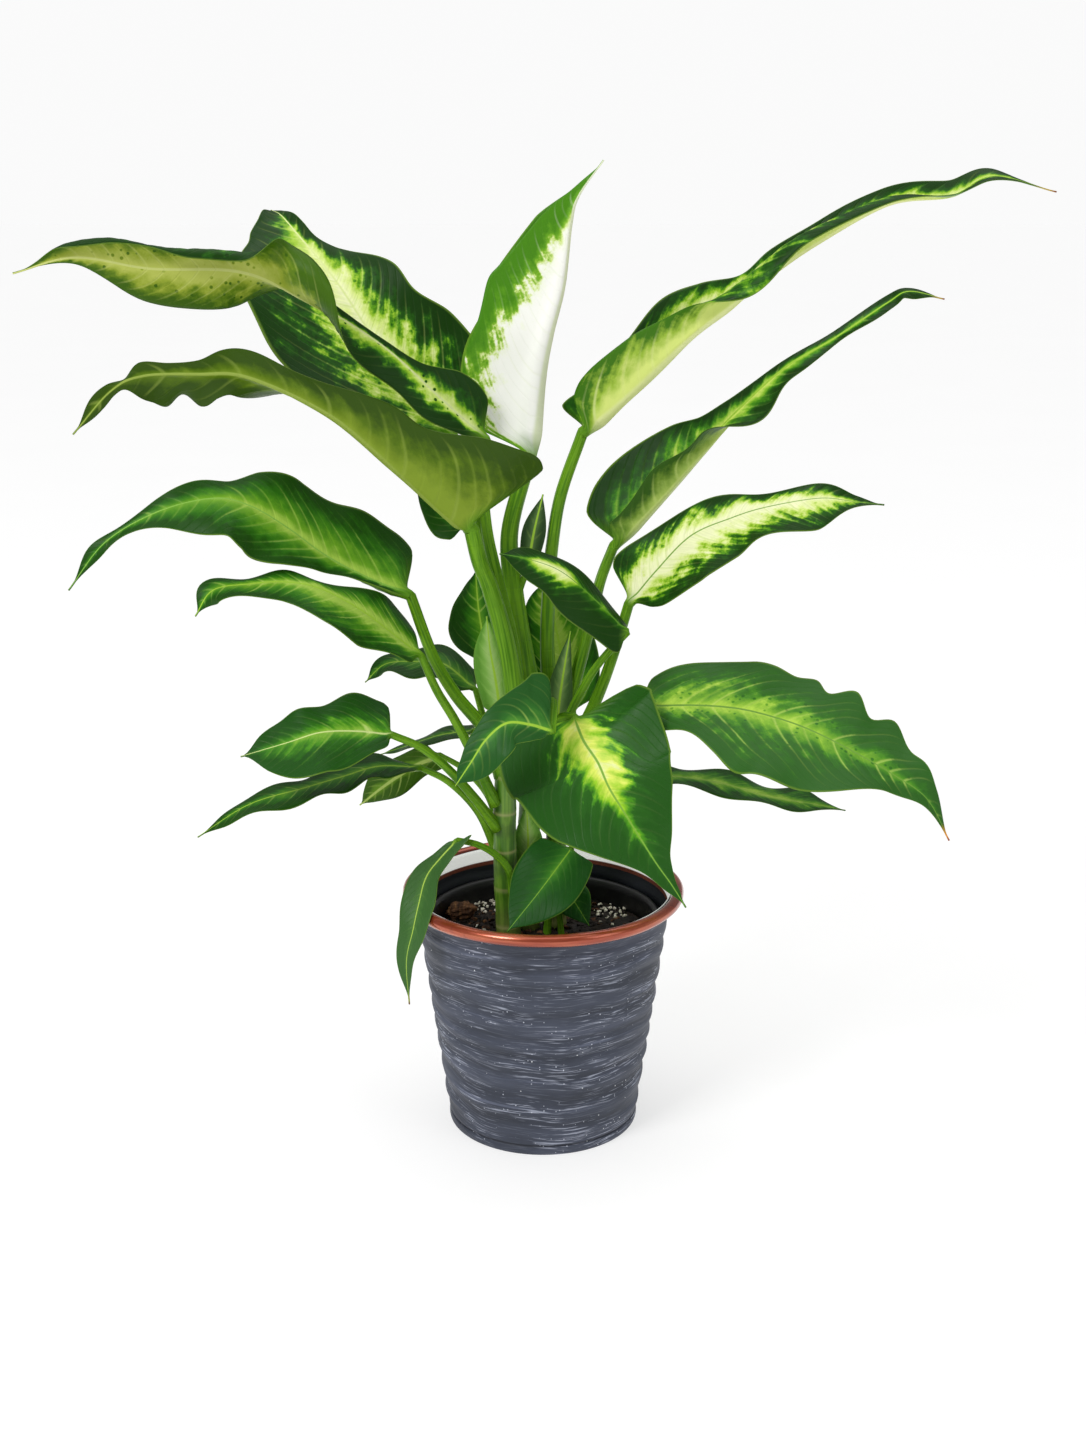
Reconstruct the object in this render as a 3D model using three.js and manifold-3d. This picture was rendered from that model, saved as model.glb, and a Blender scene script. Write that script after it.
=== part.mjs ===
// A potted dieffenbachia: three short canes of a variegated house plant, with 25 stalked leaves and
// four leaf sheaths, in a thin plastic nursery pot that stands inside a ribbed zinc planter.
// Millimetres, +Z up, origin in the middle of the planter's base, +Y away from the front.
import * as THREE from 'three';
import { mergeVertices } from 'three/addons/utils/BufferGeometryUtils.js';
import Module from 'manifold-3d';

const wasm = await Module();
wasm.setup();

// Driving dimensions of the pots and the soil.
const CLEARANCE = 0.3;
const PLANTER_HEIGHT = 150;
const PLANTER_FOOT_RADIUS = 57.5;
const PLANTER_FLARE = 0.1375;
const PLANTER_SHEET = 1.0;
const HEM_HEIGHT = 5.2;
const HEM_BULGE = 0.3;
const HEM_GROOVE = 0.6;
const BASE_ROUNDING = 1.5;
const PLAIN_BAND = 12;
const COLLAR_STEP = 6;
const RIPPLE_COUNT = 10;
const RIPPLE_DEPTH = 0.7;
const FIRST_RIPPLE = 8.2;
const BEAD_RADIUS = 3.4;
const BEAD_SIDES = 10;
const BEAD_OVERHANG = 1.7;
const NURSERY_HEIGHT = 131;
const NURSERY_FOOT_RADIUS = 51;
const NURSERY_RIM_RADIUS = 69;
const NURSERY_LIP = 3;
const NURSERY_LIP_HEIGHT = 6;
const NURSERY_WALL = 1.2;
const SOIL_TOP = 119;
const BARK_HALF_SIZE = [9, 7, 5];
const BARK_PLACE = [-51, 28];
const BARK_TURN = 0.4;
const ROUND_SIDES = 44;

// Driving dimensions of the plant.
const BLADE_THICKNESS = 0.9;
const TIP_HALF_WIDTH = 0.5;
const CANE_STEPS = 8;
const STALK_STEPS = 6;
const BLADE_STEPS = 15;
const RING_SIDES = 8;
const STALK_BLEND = 0.06;
const KEEL_SHARE = 0.7;
const BASE_CROWDING = 1.35;
const BASE_ROUND = 0.1;
const BASE_SWELL = 0.6;
const TIP_TAPER = 0.12;
const TIP_SWELL = 0.9;
const FULL_WAVE_WIDTH = 15;
const LOBE_LENGTH = 0.3;
const LOBE_SWEEP = 1.5;

const FINISH = {
  leaf: { color: 0x3f7a2c, roughness: 0.5, metalness: 0 },
  stem: { color: 0x5f9432, roughness: 0.55, metalness: 0 },
  zinc: { color: 0x4d5462, roughness: 0.6, metalness: 0.3 },
  copper: { color: 0x8a4a35, roughness: 0.4, metalness: 0.4 },
  plastic: { color: 0x17181a, roughness: 0.5, metalness: 0 },
  soil: { color: 0x241c17, roughness: 1, metalness: 0 },
  bark: { color: 0x5a4130, roughness: 0.9, metalness: 0 },
};

const model = new THREE.Group();

// ---------------------------------------------------------------- solids and joins
function solidOf(geometry) {
  const bare = geometry.clone();
  bare.deleteAttribute('normal');
  bare.deleteAttribute('uv');
  const merged = mergeVertices(bare, 1e-3);
  return new wasm.Manifold(new wasm.Mesh({
    numProp: 3,
    vertProperties: new Float32Array(merged.attributes.position.array),
    triVerts: new Uint32Array(merged.index.array),
  }));
}

function geometryOf(solid) {
  const mesh = solid.getMesh();
  const geometry = new THREE.BufferGeometry();
  geometry.setAttribute('position', new THREE.BufferAttribute(new Float32Array(mesh.vertProperties), 3));
  geometry.setIndex(new THREE.BufferAttribute(new Uint32Array(mesh.triVerts), 1));
  geometry.computeVertexNormals();
  return geometry;
}

function boxesMeet(one, other) {
  const a = one.boundingBox();
  const b = other.boundingBox();
  return [0, 1, 2].every((axis) => a.min[axis] < b.max[axis] && b.min[axis] < a.max[axis]);
}

// What is left of a solid beside its neighbours: its largest piece.
function clearOf(solid, neighbours) {
  const near = neighbours.filter((neighbour) => boxesMeet(solid, neighbour));
  if (near.length === 0) return solid;
  const cut = near.reduce((left, neighbour) => left.subtract(neighbour), solid);
  const pieces = cut.decompose();
  return pieces.reduce((best, piece) => (piece.volume() > best.volume() ? piece : best));
}

function place(name, geometry, finish) {
  const mesh = new THREE.Mesh(geometry, new THREE.MeshStandardMaterial(FINISH[finish]));
  mesh.name = name;
  model.add(mesh);
}

// ---------------------------------------------------------------- planter and nursery pot
function turned(points) {
  const profile = points.map(([radius, height]) => new THREE.Vector2(radius, height));
  const geometry = new THREE.LatheGeometry(profile, ROUND_SIDES);
  geometry.rotateX(Math.PI / 2);
  return geometry;
}

function planterRadius(height) {
  return PLANTER_FOOT_RADIUS + PLANTER_FLARE * height;
}

function planterShell() {
  const bandLow = PLANTER_HEIGHT - PLAIN_BAND;
  const outer = [
    [0, 0],
    [PLANTER_FOOT_RADIUS - BASE_ROUNDING, 0],
    [PLANTER_FOOT_RADIUS, HEM_HEIGHT / 5],
    [PLANTER_FOOT_RADIUS + HEM_BULGE, HEM_HEIGHT / 2],
    [PLANTER_FOOT_RADIUS, HEM_HEIGHT * 4 / 5],
    [PLANTER_FOOT_RADIUS - HEM_GROOVE, HEM_HEIGHT],
  ];
  const pitch = (bandLow - FIRST_RIPPLE) / RIPPLE_COUNT;
  for (let ripple = 0; ripple < RIPPLE_COUNT; ripple += 1) {
    const low = FIRST_RIPPLE + ripple * pitch;
    const high = low + pitch / 2;
    outer.push([planterRadius(low), low]);
    outer.push([planterRadius(high) - RIPPLE_DEPTH, high]);
  }
  outer.push([planterRadius(bandLow), bandLow]);
  outer.push([planterRadius(PLANTER_HEIGHT), PLANTER_HEIGHT]);
  const collar = bandLow - COLLAR_STEP;
  const inset = PLANTER_SHEET + RIPPLE_DEPTH;
  const inner = [
    [planterRadius(PLANTER_HEIGHT) - PLANTER_SHEET, PLANTER_HEIGHT],
    [planterRadius(bandLow) - PLANTER_SHEET, bandLow],
    [planterRadius(collar) - inset, collar],
    [PLANTER_FOOT_RADIUS - inset, PLANTER_SHEET],
    [0, PLANTER_SHEET],
  ];
  place('planter_shell', turned([...outer, ...inner]), 'zinc');
}

// The rolled rim, round the outside of the sheet's upper edge.
function rimBead() {
  const middle = planterRadius(PLANTER_HEIGHT) + CLEARANCE + BEAD_RADIUS;
  const geometry = new THREE.TorusGeometry(middle, BEAD_RADIUS, BEAD_SIDES, ROUND_SIDES);
  geometry.translate(0, 0, PLANTER_HEIGHT + BEAD_OVERHANG - BEAD_RADIUS);
  place('rim_bead', geometry, 'copper');
}

const nurseryFloor = PLANTER_SHEET + CLEARANCE;
const nurseryRim = nurseryFloor + NURSERY_HEIGHT;
const nurserySlope = (NURSERY_RIM_RADIUS - NURSERY_FOOT_RADIUS) / NURSERY_HEIGHT;

function nurseryRadius(height) {
  return NURSERY_FOOT_RADIUS + nurserySlope * (height - nurseryFloor);
}

function nurseryPot() {
  const lipLow = nurseryRim - NURSERY_LIP_HEIGHT;
  place('nursery_pot', turned([
    [0, nurseryFloor],
    [NURSERY_FOOT_RADIUS, nurseryFloor],
    [nurseryRadius(lipLow), lipLow],
    [nurseryRadius(lipLow) + NURSERY_LIP, lipLow + NURSERY_WALL],
    [nurseryRadius(nurseryRim) + NURSERY_LIP, nurseryRim],
    [nurseryRadius(nurseryRim) - NURSERY_WALL, nurseryRim],
    [NURSERY_FOOT_RADIUS - NURSERY_WALL, nurseryFloor + NURSERY_WALL],
    [0, nurseryFloor + NURSERY_WALL],
  ]), 'plastic');
}

// The potting mix fills the nursery pot and is pierced by whatever grows out of it.
function soil(rooted) {
  const floor = nurseryFloor + NURSERY_WALL + CLEARANCE;
  const inset = NURSERY_WALL + CLEARANCE;
  const body = turned([
    [0, floor],
    [nurseryRadius(floor) - inset, floor],
    [nurseryRadius(SOIL_TOP) - inset, SOIL_TOP],
    [0, SOIL_TOP],
  ]);
  place('soil', geometryOf(clearOf(solidOf(body), rooted)), 'soil');
}

function barkLump() {
  const geometry = new THREE.IcosahedronGeometry(1, 1);
  geometry.scale(...BARK_HALF_SIZE);
  geometry.rotateZ(BARK_TURN);
  geometry.translate(...BARK_PLACE, SOIL_TOP + BARK_HALF_SIZE[2] + CLEARANCE);
  place('bark_lump', geometryOf(solidOf(geometry)), 'bark');
}

// ---------------------------------------------------------------- leaf shape
// A smooth value at t of a row of values that are spread evenly along the leaf.
function along(values, t) {
  if (values.length === 1) return values[0];
  const row = [2 * values[0] - values[1], ...values, 2 * values.at(-1) - values.at(-2)];
  const reach = Math.min(Math.max(t, 0), 1) * (values.length - 1);
  const step = Math.min(Math.floor(reach), values.length - 2);
  const f = reach - step;
  const [a, b, c, d] = row.slice(step, step + 4);
  const cubic = 3 * b - a - 3 * c + d;
  const square = 2 * a - 5 * b + 4 * c - d;
  return 0.5 * (2 * b + (c - a) * f + square * f * f + cubic * f * f * f);
}

function alongPoints(points, t) {
  return new THREE.Vector3(...[0, 1, 2].map((axis) => along(points.map((point) => point[axis]), t)));
}

function curveTangent(points, t) {
  const ahead = alongPoints(points, Math.min(t + 1e-3, 1));
  return ahead.sub(alongPoints(points, Math.max(t - 1e-3, 0))).normalize();
}

function squareTo(vector, axis) {
  return vector.clone().addScaledVector(axis, -vector.dot(axis)).normalize();
}

function quarterWave(x) {
  return Math.sin(Math.PI / 2 * Math.min(Math.max(x, 0), 1));
}

// Frame of the blade at t: a point on the midrib, its run, its upward face and its right-hand side.
function bladeFrame(leaf, t) {
  const run = curveTangent(leaf.rib, t);
  const up = squareTo(alongPoints(leaf.face, t), run);
  return { point: alongPoints(leaf.rib, t), run, up, side: run.clone().cross(up) };
}

// Two points of one half of the blade, half-way to the edge and at it, with the blade's own normal.
function bladeHalf(leaf, frame, t, hand, grow) {
  const key = hand < 0 ? 0 : 1;
  const base = quarterWave(t / (leaf.round ?? BASE_ROUND)) ** BASE_SWELL;
  const ends = base * quarterWave((1 - t) / TIP_TAPER) ** TIP_SWELL;
  const plain = Math.max(along(leaf.width[key], t) * ends, TIP_HALF_WIDTH);
  const width = plain + grow;
  const fold = THREE.MathUtils.degToRad(along(leaf.fold[key], t));
  const curl = THREE.MathUtils.degToRad(along(leaf.curl[key], t));
  const [height, count, shift] = leaf.wave[key];
  const ease = Math.min(plain / FULL_WAVE_WIDTH, 1);
  const swell = height * ease * Math.sin(2 * Math.PI * (count * t + shift));
  const back = (leaf.lobe ?? 0) * Math.max(1 - t / LOBE_LENGTH, 0) ** 2 * base;
  const walk = new THREE.Vector3();
  return [0.5, 1].map((q) => {
    const angle = fold + curl * (q - 0.25);
    walk.addScaledVector(frame.side, hand * Math.cos(angle) * width / 2);
    walk.addScaledVector(frame.up, Math.sin(angle) * width / 2);
    const point = frame.point.clone().add(walk);
    point.addScaledVector(frame.up, swell * q * q);
    point.addScaledVector(frame.run, -back * q ** LOBE_SWEEP);
    const tilt = fold + curl * q;
    const normal = frame.up.clone().multiplyScalar(Math.cos(tilt));
    normal.addScaledVector(frame.side, -hand * Math.sin(tilt));
    return { point, normal };
  });
}

// Eight points around the blade: left edge, upper face, right edge, then back along the underside.
function bladeRing(leaf, t, grow) {
  const frame = bladeFrame(leaf, t);
  const [leftMiddle, leftEdge] = bladeHalf(leaf, frame, t, -1, grow);
  const [rightMiddle, rightEdge] = bladeHalf(leaf, frame, t, 1, grow);
  const half = BLADE_THICKNESS / 2 + grow;
  const keel = half + KEEL_SHARE * leaf.stalkRadius[1] * (1 - t) ** 2;
  const raised = ({ point, normal }, height) => point.clone().addScaledVector(normal, height);
  return [
    leftEdge.point,
    raised(leftMiddle, half),
    raised({ point: frame.point, normal: frame.up }, half),
    raised(rightMiddle, half),
    rightEdge.point,
    raised(rightMiddle, -half),
    raised({ point: frame.point, normal: frame.up }, -keel),
    raised(leftMiddle, -half),
  ];
}

function roundRing(point, up, side, radius) {
  const ring = [];
  for (let corner = 0; corner < RING_SIDES; corner += 1) {
    const angle = Math.PI - corner * 2 * Math.PI / RING_SIDES;
    const spoke = side.clone().multiplyScalar(Math.cos(angle)).addScaledVector(up, Math.sin(angle));
    ring.push(point.clone().addScaledVector(spoke, radius));
  }
  return ring;
}

function blend(ring, other, share) {
  return ring.map((point, corner) => point.clone().lerp(other[corner], share));
}

// A closed solid under a skin that is stretched over a row of rings. Both faces of a blade are creased
// along the same diagonals, so that a thin blade that twists keeps its thickness.
function skin(rings) {
  const index = [];
  for (let row = 0; row + 1 < rings.length; row += 1) {
    for (let corner = 0; corner < RING_SIDES; corner += 1) {
      const a = row * RING_SIDES + corner;
      const b = row * RING_SIDES + (corner + 1) % RING_SIDES;
      const [c, d] = [a + RING_SIDES, b + RING_SIDES];
      index.push(...(corner < RING_SIDES / 2 ? [a, b, d, a, d, c] : [a, b, c, b, d, c]));
    }
  }
  const last = (rings.length - 1) * RING_SIDES;
  for (let corner = 1; corner + 1 < RING_SIDES; corner += 1) {
    index.push(0, corner + 1, corner);
    index.push(last, last + corner, last + corner + 1);
  }
  const geometry = new THREE.BufferGeometry().setFromPoints(rings.flat());
  geometry.setIndex(index);
  return solidOf(geometry);
}

// Rings down a stalk, each square to its run and turned as little as its neighbour allows.
function stalkRings(points, radii, firstUp, steps, grow) {
  const rings = [];
  let up = firstUp;
  for (let step = steps; step >= 0; step -= 1) {
    const t = step / steps;
    const run = curveTangent(points, t);
    up = squareTo(up, run);
    const radius = radii[0] + (radii[1] - radii[0]) * t + grow;
    rings.unshift(roundRing(alongPoints(points, t), up, run.clone().cross(up), radius));
  }
  return rings;
}

function leafSolid(leaf, grow = 0) {
  const start = bladeFrame(leaf, 0);
  const rings = stalkRings(leaf.stalk, leaf.stalkRadius, start.up, STALK_STEPS, grow);
  const neck = leaf.stalkRadius[1] + grow;
  for (let step = 1; step <= BLADE_STEPS; step += 1) {
    const t = (step / BLADE_STEPS) ** BASE_CROWDING;
    const ring = bladeRing(leaf, t, grow);
    const frame = bladeFrame(leaf, t);
    const share = THREE.MathUtils.smoothstep(t, 0, STALK_BLEND);
    rings.push(blend(roundRing(frame.point, frame.up, frame.side, neck), ring, share));
  }
  return skin(rings);
}

// ---------------------------------------------------------------- canes, sheaths and leaves
// Each cane is a row of points up from its root, with its radius at the root and at the top.
const CANES = {
  cane_left: {
    run: [[-20, -5, 104], [-22, -5, 143], [-23, -8, 183], [-22, -10, 221], [-18, -10, 246], [-15, -8, 273]],
    radius: [7.5, 6],
  },
  cane_middle: {
    run: [[-9, 12, 107], [-9, 12, 163], [-8, 12, 202], [-7, 12, 240], [-6, 12, 268]],
    radius: [7, 6],
  },
  cane_right: {
    run: [[8, 17, 108], [8, 17, 181], [9, 17, 219], [11, 17, 248]],
    radius: [6.5, 5],
  },
};

// Each leaf: its stalk from the cane up, its midrib from the stalk to the tip, the way its upper face
// looks along the midrib, and for the left and right halves the half-width, the fold away from flat and
// the curl towards the edge in degrees, and the wave of the edge: height, number and shift.
const LEAVES = [
  {
    name: 'leaf_new_upright',
    stalk: [[-8, 7, 263], [-11, 6, 296], [-13, 9, 332], [-17, 12, 367], [-13, 15, 408]],
    stalkRadius: [6, 4],
    rib: [
      [-13, 15, 408], [0, 18, 453], [6, 18, 479], [12, 20, 506], [17, 20, 540], [21, 22, 555],
      [34, 25, 574],
    ],
    face: [[-1, 0, 0], [-1, 0, 0]],
    width: [[30, 47, 48, 43, 20, 6, 0], [30, 46, 47, 42, 19, 5, 0]],
    fold: [[78], [82]],
    curl: [[0], [5]],
    wave: [[1, 2, 0], [1, 2, 0.3]],
  },
  {
    name: 'leaf_left_arching',
    stalk: [[-15, -14, 269], [-22, -20, 309], [-30, -24, 340], [-36, -27, 357], [-40, -30, 375]],
    stalkRadius: [5.5, 4.4],
    rib: [
      [-40, -30, 375], [-55, -38, 392], [-80, -50, 418], [-113, -60, 445], [-154, -70, 465],
      [-180, -75, 467],
      [-209, -78, 466], [-226, -80, 457], [-246, -85, 436],
    ],
    face: [[0.3, 0.85, 0.4], [0.3, 0.85, 0.4]],
    width: [[38, 54, 26, 12, 14, 8, 7, 3, 0], [20, 30, 28, 22, 14, 20, 14, 4, 0]],
    fold: [[0, 0, 10, 10, 10, 10, 10, 0, 0], [85, 85, 85, 70, 10, 10, 10, 0, 0]],
    curl: [[0], [0]],
    wave: [[3, 4, 0], [3, 4, 0.5]],
    lobe: 8,
    round: 0.06,
  },
  {
    name: 'leaf_right_top',
    stalk: [[4, 16, 262], [2, 17, 295], [3, 14, 332], [5, 10, 359], [10, 7, 389], [21, 5, 425]],
    stalkRadius: [5, 3.6],
    rib: [
      [21, 5, 425], [46, 0, 443], [82, -5, 476], [114, -10, 503], [147, -15, 529], [186, -20, 551],
      [219, -25, 555], [240, -28, 564], [274, -30, 559],
    ],
    face: [[-0.5, -0.15, 0.85], [-0.5, -0.15, 0.85]],
    width: [[18, 24, 31, 13, 11, 10, 7, 4, 0], [18, 27, 24, 16, 12, 10, 8, 5, 0]],
    fold: [[60, 50, 50, 60, 60, 50, 30, 0, 0], [85, 80, 60, 0, 60, 40, 0, 0, 0]],
    curl: [[20], [15]],
    wave: [[2, 3, 0], [2, 4, 0.3]],
  },
  {
    name: 'leaf_left_twisted',
    stalk: [[-14, -4, 269], [-18, -8, 306], [-26, -10, 342], [-32, -10, 371], [-34, -6, 399], [-32, 0, 421]],
    stalkRadius: [4, 2.8],
    rib: [
      [-32, 0, 421], [-58, -8, 446], [-90, -15, 476], [-132, -25, 502], [-163, -35, 513], [-209, -45, 512],
      [-246, -55, 522], [-278, -60, 516],
    ],
    face: [
      [0.35, -0.6, 0.7], [0.35, -0.6, 0.7], [0.3, -0.4, 0.85], [0.1, 0.2, 0.95], [0, 0.8, 0.5],
      [0, 0.95, 0.2], [0, 0.95, 0.2], [0, 0.9, 0.3],
    ],
    width: [[14, 26, 26, 25, 15, 20, 11, 0], [14, 26, 18, 22, 20, 20, 7, 0]],
    fold: [[20, 20, 25, 20, 20, 25, 20, 0], [20, 20, -30, -20, 0, 20, 20, 0]],
    curl: [[40], [10]],
    wave: [[4, 3, 0], [3, 3, 0.3]],
  },
  {
    name: 'leaf_back_left',
    stalk: [[-15, 12, 246], [-25, 17, 301], [-35, 21, 336], [-43, 25, 371], [-51, 30, 417]],
    stalkRadius: [3.6, 2.8],
    rib: [
      [-51, 30, 417], [-94, 45, 468], [-122, 60, 506], [-145, 78, 532], [-157, 95, 542], [-165, 110, 541],
    ],
    face: [[0.3, -0.8, 0.5], [0.3, -0.8, 0.5], [0, -0.6, 0.8], [-0.2, 0.1, 1]],
    width: [[30, 56, 60, 36, 14, 0], [40, 46, 34, 18, 12, 0]],
    fold: [[10], [15]],
    curl: [[0], [0]],
    wave: [[4, 2.5, 0], [4, 2.5, 0.5]],
  },
  {
    name: 'leaf_right_upper',
    stalk: [[11, 14, 236], [16, 12, 265], [22, 8, 290], [28, 3, 316], [33, -2, 340], [40, -5, 360]],
    stalkRadius: [4.5, 3.2],
    rib: [
      [40, -5, 360], [67, -8, 388], [89, -10, 414], [108, -12, 436], [134, -16, 462], [161, -20, 480],
      [188, -24, 499], [199, -26, 505], [218, -28, 501],
    ],
    face: [[-0.5, -0.25, 0.85], [-0.5, -0.25, 0.85]],
    width: [[20, 32, 26, 11, 7, 4, 4, 4, 0], [16, 24, 26, 24, 14, 8, 4, 4, 0]],
    fold: [[40, 35, 35, 50, 50, 40, 20, 0, 0], [85, 75, 50, -10, 10, 30, 20, 0, 0]],
    curl: [[20], [15]],
    wave: [[2, 3, 0], [2, 4, 0.3]],
  },
  {
    name: 'leaf_right_cream',
    stalk: [[14, 13, 224], [25, 10, 250], [34, 4, 273], [42, -8, 302], [49, -20, 331]],
    stalkRadius: [4, 3],
    rib: [
      [49, -20, 331], [64, -24, 351], [83, -28, 372], [105, -33, 383], [124, -38, 390], [152, -45, 396],
      [170, -50, 395], [186, -55, 394],
    ],
    face: [[-0.3, -0.65, 0.7], [-0.3, -0.65, 0.7]],
    width: [[20, 28, 26, 16, 12, 11, 3, 0], [12, 26, 32, 30, 24, 18, 4, 0]],
    fold: [[15], [10]],
    curl: [[5], [5]],
    wave: [[3, 3, 0], [3, 3, 0.5]],
  },
  {
    name: 'leaf_left_broad',
    stalk: [[-24, -10, 224], [-33, -12, 253], [-44, -14, 278], [-58, -15, 301], [-80, -15, 336]],
    stalkRadius: [4.2, 3.2],
    rib: [
      [-80, -15, 336], [-106, -22, 349], [-125, -28, 362], [-143, -34, 378], [-162, -40, 392],
      [-181, -45, 397],
      [-210, -52, 390], [-237, -58, 370], [-258, -62, 345],
    ],
    face: [[0.2, -0.55, 0.8], [0.2, -0.55, 0.8]],
    width: [[8, 16, 22, 28, 32, 30, 14, 6, 0], [30, 40, 40, 37, 25, 13, 8, 5, 0]],
    fold: [[5], [5]],
    curl: [[-10], [0]],
    wave: [[3, 4, 0], [3, 4, 0.5]],
    lobe: 6,
  },
  {
    name: 'leaf_left_wavy',
    stalk: [[-28, -15, 208], [-40, -22, 240], [-52, -26, 265], [-63, -30, 285], [-74, -32, 305]],
    stalkRadius: [3.2, 2.4],
    rib: [
      [-74, -32, 305], [-89, -39, 321], [-104, -45, 334], [-123, -53, 347], [-141, -59, 351],
      [-160, -64, 351],
      [-180, -67, 348], [-190, -69, 334],
    ],
    face: [[0.2, -0.4, 0.9], [0.2, -0.4, 0.9]],
    width: [[10, 16, 26, 22, 12, 10, 9, 0], [12, 22, 16, 10, 10, 5, 9, 0]],
    fold: [[0], [0]],
    curl: [[0], [0]],
    wave: [[3, 3, 0], [3, 3, 0.5]],
  },
  {
    name: 'leaf_right_large',
    stalk: [[10, 12, 192], [15, 6, 216], [23, -2, 241], [36, -14, 259], [64, -30, 273]],
    stalkRadius: [4, 3],
    rib: [
      [64, -30, 273], [90, -40, 275], [109, -48, 276], [130, -56, 273], [149, -64, 268], [172, -72, 258],
      [196, -78, 245], [213, -82, 233], [226, -85, 210],
    ],
    face: [[0, -0.45, 0.9], [0, -0.45, 0.9]],
    width: [[22, 38, 41, 38, 35, 32, 21, 10, 0], [10, 24, 40, 50, 44, 34, 14, 6, 0]],
    fold: [[5], [5]],
    curl: [[0], [0]],
    wave: [[3, 4, 0], [3, 4, 0.5]],
  },
  {
    name: 'leaf_front_heart',
    stalk: [[3, 6, 200], [2, -4, 228], [5, -16, 250], [10, -27, 264], [18, -35, 267]],
    stalkRadius: [3.6, 2.8],
    rib: [
      [18, -35, 267], [23, -48, 257], [31, -58, 247], [37, -66, 235], [45, -72, 223], [53, -77, 211],
      [63, -82, 196], [72, -86, 184], [80, -90, 172],
    ],
    face: [[-0.1, -0.9, 0.4], [-0.1, -0.9, 0.4]],
    width: [[24, 46, 42, 40, 32, 22, 11, 4, 0], [26, 50, 52, 48, 40, 30, 14, 6, 0]],
    fold: [[5], [10]],
    curl: [[5], [5]],
    wave: [[1.5, 3, 0], [2, 3, 0.5]],
    lobe: 20,
    round: 0.05,
  },
  {
    name: 'leaf_right_narrow',
    stalk: [[12, 14, 178], [22, 10, 199], [41, 2, 212], [64, -5, 220]],
    stalkRadius: [3, 2.4],
    rib: [[64, -5, 220], [78, -8, 221], [106, -12, 220], [133, -16, 214], [157, -20, 212], [178, -24, 207]],
    face: [[0, -0.1, 1], [0, -0.1, 1]],
    width: [[10, 18, 20, 20, 18, 0], [10, 18, 20, 16, 10, 0]],
    fold: [[0], [0]],
    curl: [[0], [0]],
    wave: [[2, 3, 0], [2, 3, 0.5]],
  },
  {
    name: 'leaf_centre_drooping',
    stalk: [[9, 10, 226], [14, -6, 256], [26, -22, 286], [36, -31, 303], [48, -34, 317]],
    stalkRadius: [2.8, 2],
    rib: [[48, -34, 317], [30, -38, 336], [11, -42, 353], [-7, -46, 361], [-24, -50, 365]],
    face: [[0.4, -0.4, 0.75], [0.4, -0.4, 0.75]],
    width: [[8, 20, 20, 12, 0], [6, 16, 16, 14, 0]],
    fold: [[-25], [-10]],
    curl: [[0], [0]],
    wave: [[1, 2, 0], [1, 2, 0.5]],
  },
  {
    name: 'leaf_centre_back',
    stalk: [[12, 18, 219], [15, 22, 237], [18, 25, 253]],
    stalkRadius: [3, 2.2],
    rib: [[18, 25, 253], [13, 35, 277], [8, 42, 301], [3, 46, 318], [1, 48, 330]],
    face: [[0, -0.9, 0.3], [0, -0.9, 0.3]],
    width: [[14, 22, 22, 14, 0], [14, 22, 20, 12, 0]],
    fold: [[5], [5]],
    curl: [[0], [0]],
    wave: [[1, 2, 0], [1, 2, 0.5]],
  },
  {
    name: 'leaf_left_behind',
    stalk: [[-20, -4, 236], [-30, 10, 254], [-32, 30, 272]],
    stalkRadius: [2.6, 2],
    rib: [[-32, 30, 272], [-35, 35, 290], [-39, 42, 313], [-41, 48, 337]],
    face: [[0, -0.9, 0.3], [0, -0.9, 0.3]],
    width: [[12, 16, 14, 0], [12, 14, 14, 0]],
    fold: [[5], [5]],
    curl: [[0], [0]],
    wave: [[1, 2, 0], [1, 2, 0.5]],
  },
  {
    name: 'leaf_left_inner',
    stalk: [[-16, -2, 254], [-21, 3, 296], [-30, 5, 334], [-37, 5, 360], [-42, 3, 375]],
    stalkRadius: [2.4, 1.8],
    rib: [[-42, 3, 375], [-57, 8, 383], [-74, 14, 396]],
    face: [[0.3, -0.8, 0.3], [0.3, -0.8, 0.3]],
    width: [[12, 16, 0], [10, 12, 0]],
    fold: [[0], [0]],
    curl: [[0], [0]],
    wave: [[1, 2, 0], [1, 2, 0.5]],
  },
  {
    name: 'leaf_left_back_small',
    stalk: [[-22, -4, 219], [-34, 17, 246], [-41, 30, 266]],
    stalkRadius: [2.6, 1.8],
    rib: [[-41, 30, 266], [-60, 38, 280], [-78, 45, 280], [-97, 50, 277], [-110, 52, 265]],
    face: [[0.2, -0.3, 0.9], [0.2, -0.3, 0.9]],
    width: [[15, 15, 15, 8, 0], [15, 15, 15, 8, 0]],
    fold: [[0], [0]],
    curl: [[0], [0]],
    wave: [[2, 2, 0], [2, 2, 0.5]],
  },
  {
    name: 'leaf_front_folded',
    stalk: [[-22, -14, 205], [-30, -36, 222], [-27, -60, 240], [-13, -73, 258], [5, -74, 270]],
    stalkRadius: [3, 2.2],
    rib: [
      [5, -74, 270], [-7, -78, 275], [-20, -82, 277], [-31, -86, 269], [-40, -90, 256], [-48, -92, 244],
    ],
    face: [[0, -0.8, 0.6], [0, -0.8, 0.6]],
    width: [[4, 8, 11, 14, 11, 0], [6, 26, 28, 8, 4, 0]],
    fold: [[0], [0]],
    curl: [[0], [0]],
    wave: [[1, 2, 0], [1, 2, 0.5]],
  },
  {
    name: 'leaf_left_low_short',
    stalk: [[-27, -13, 192], [-40, -20, 213], [-56, -26, 234], [-71, -28, 247], [-87, -30, 255]],
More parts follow.
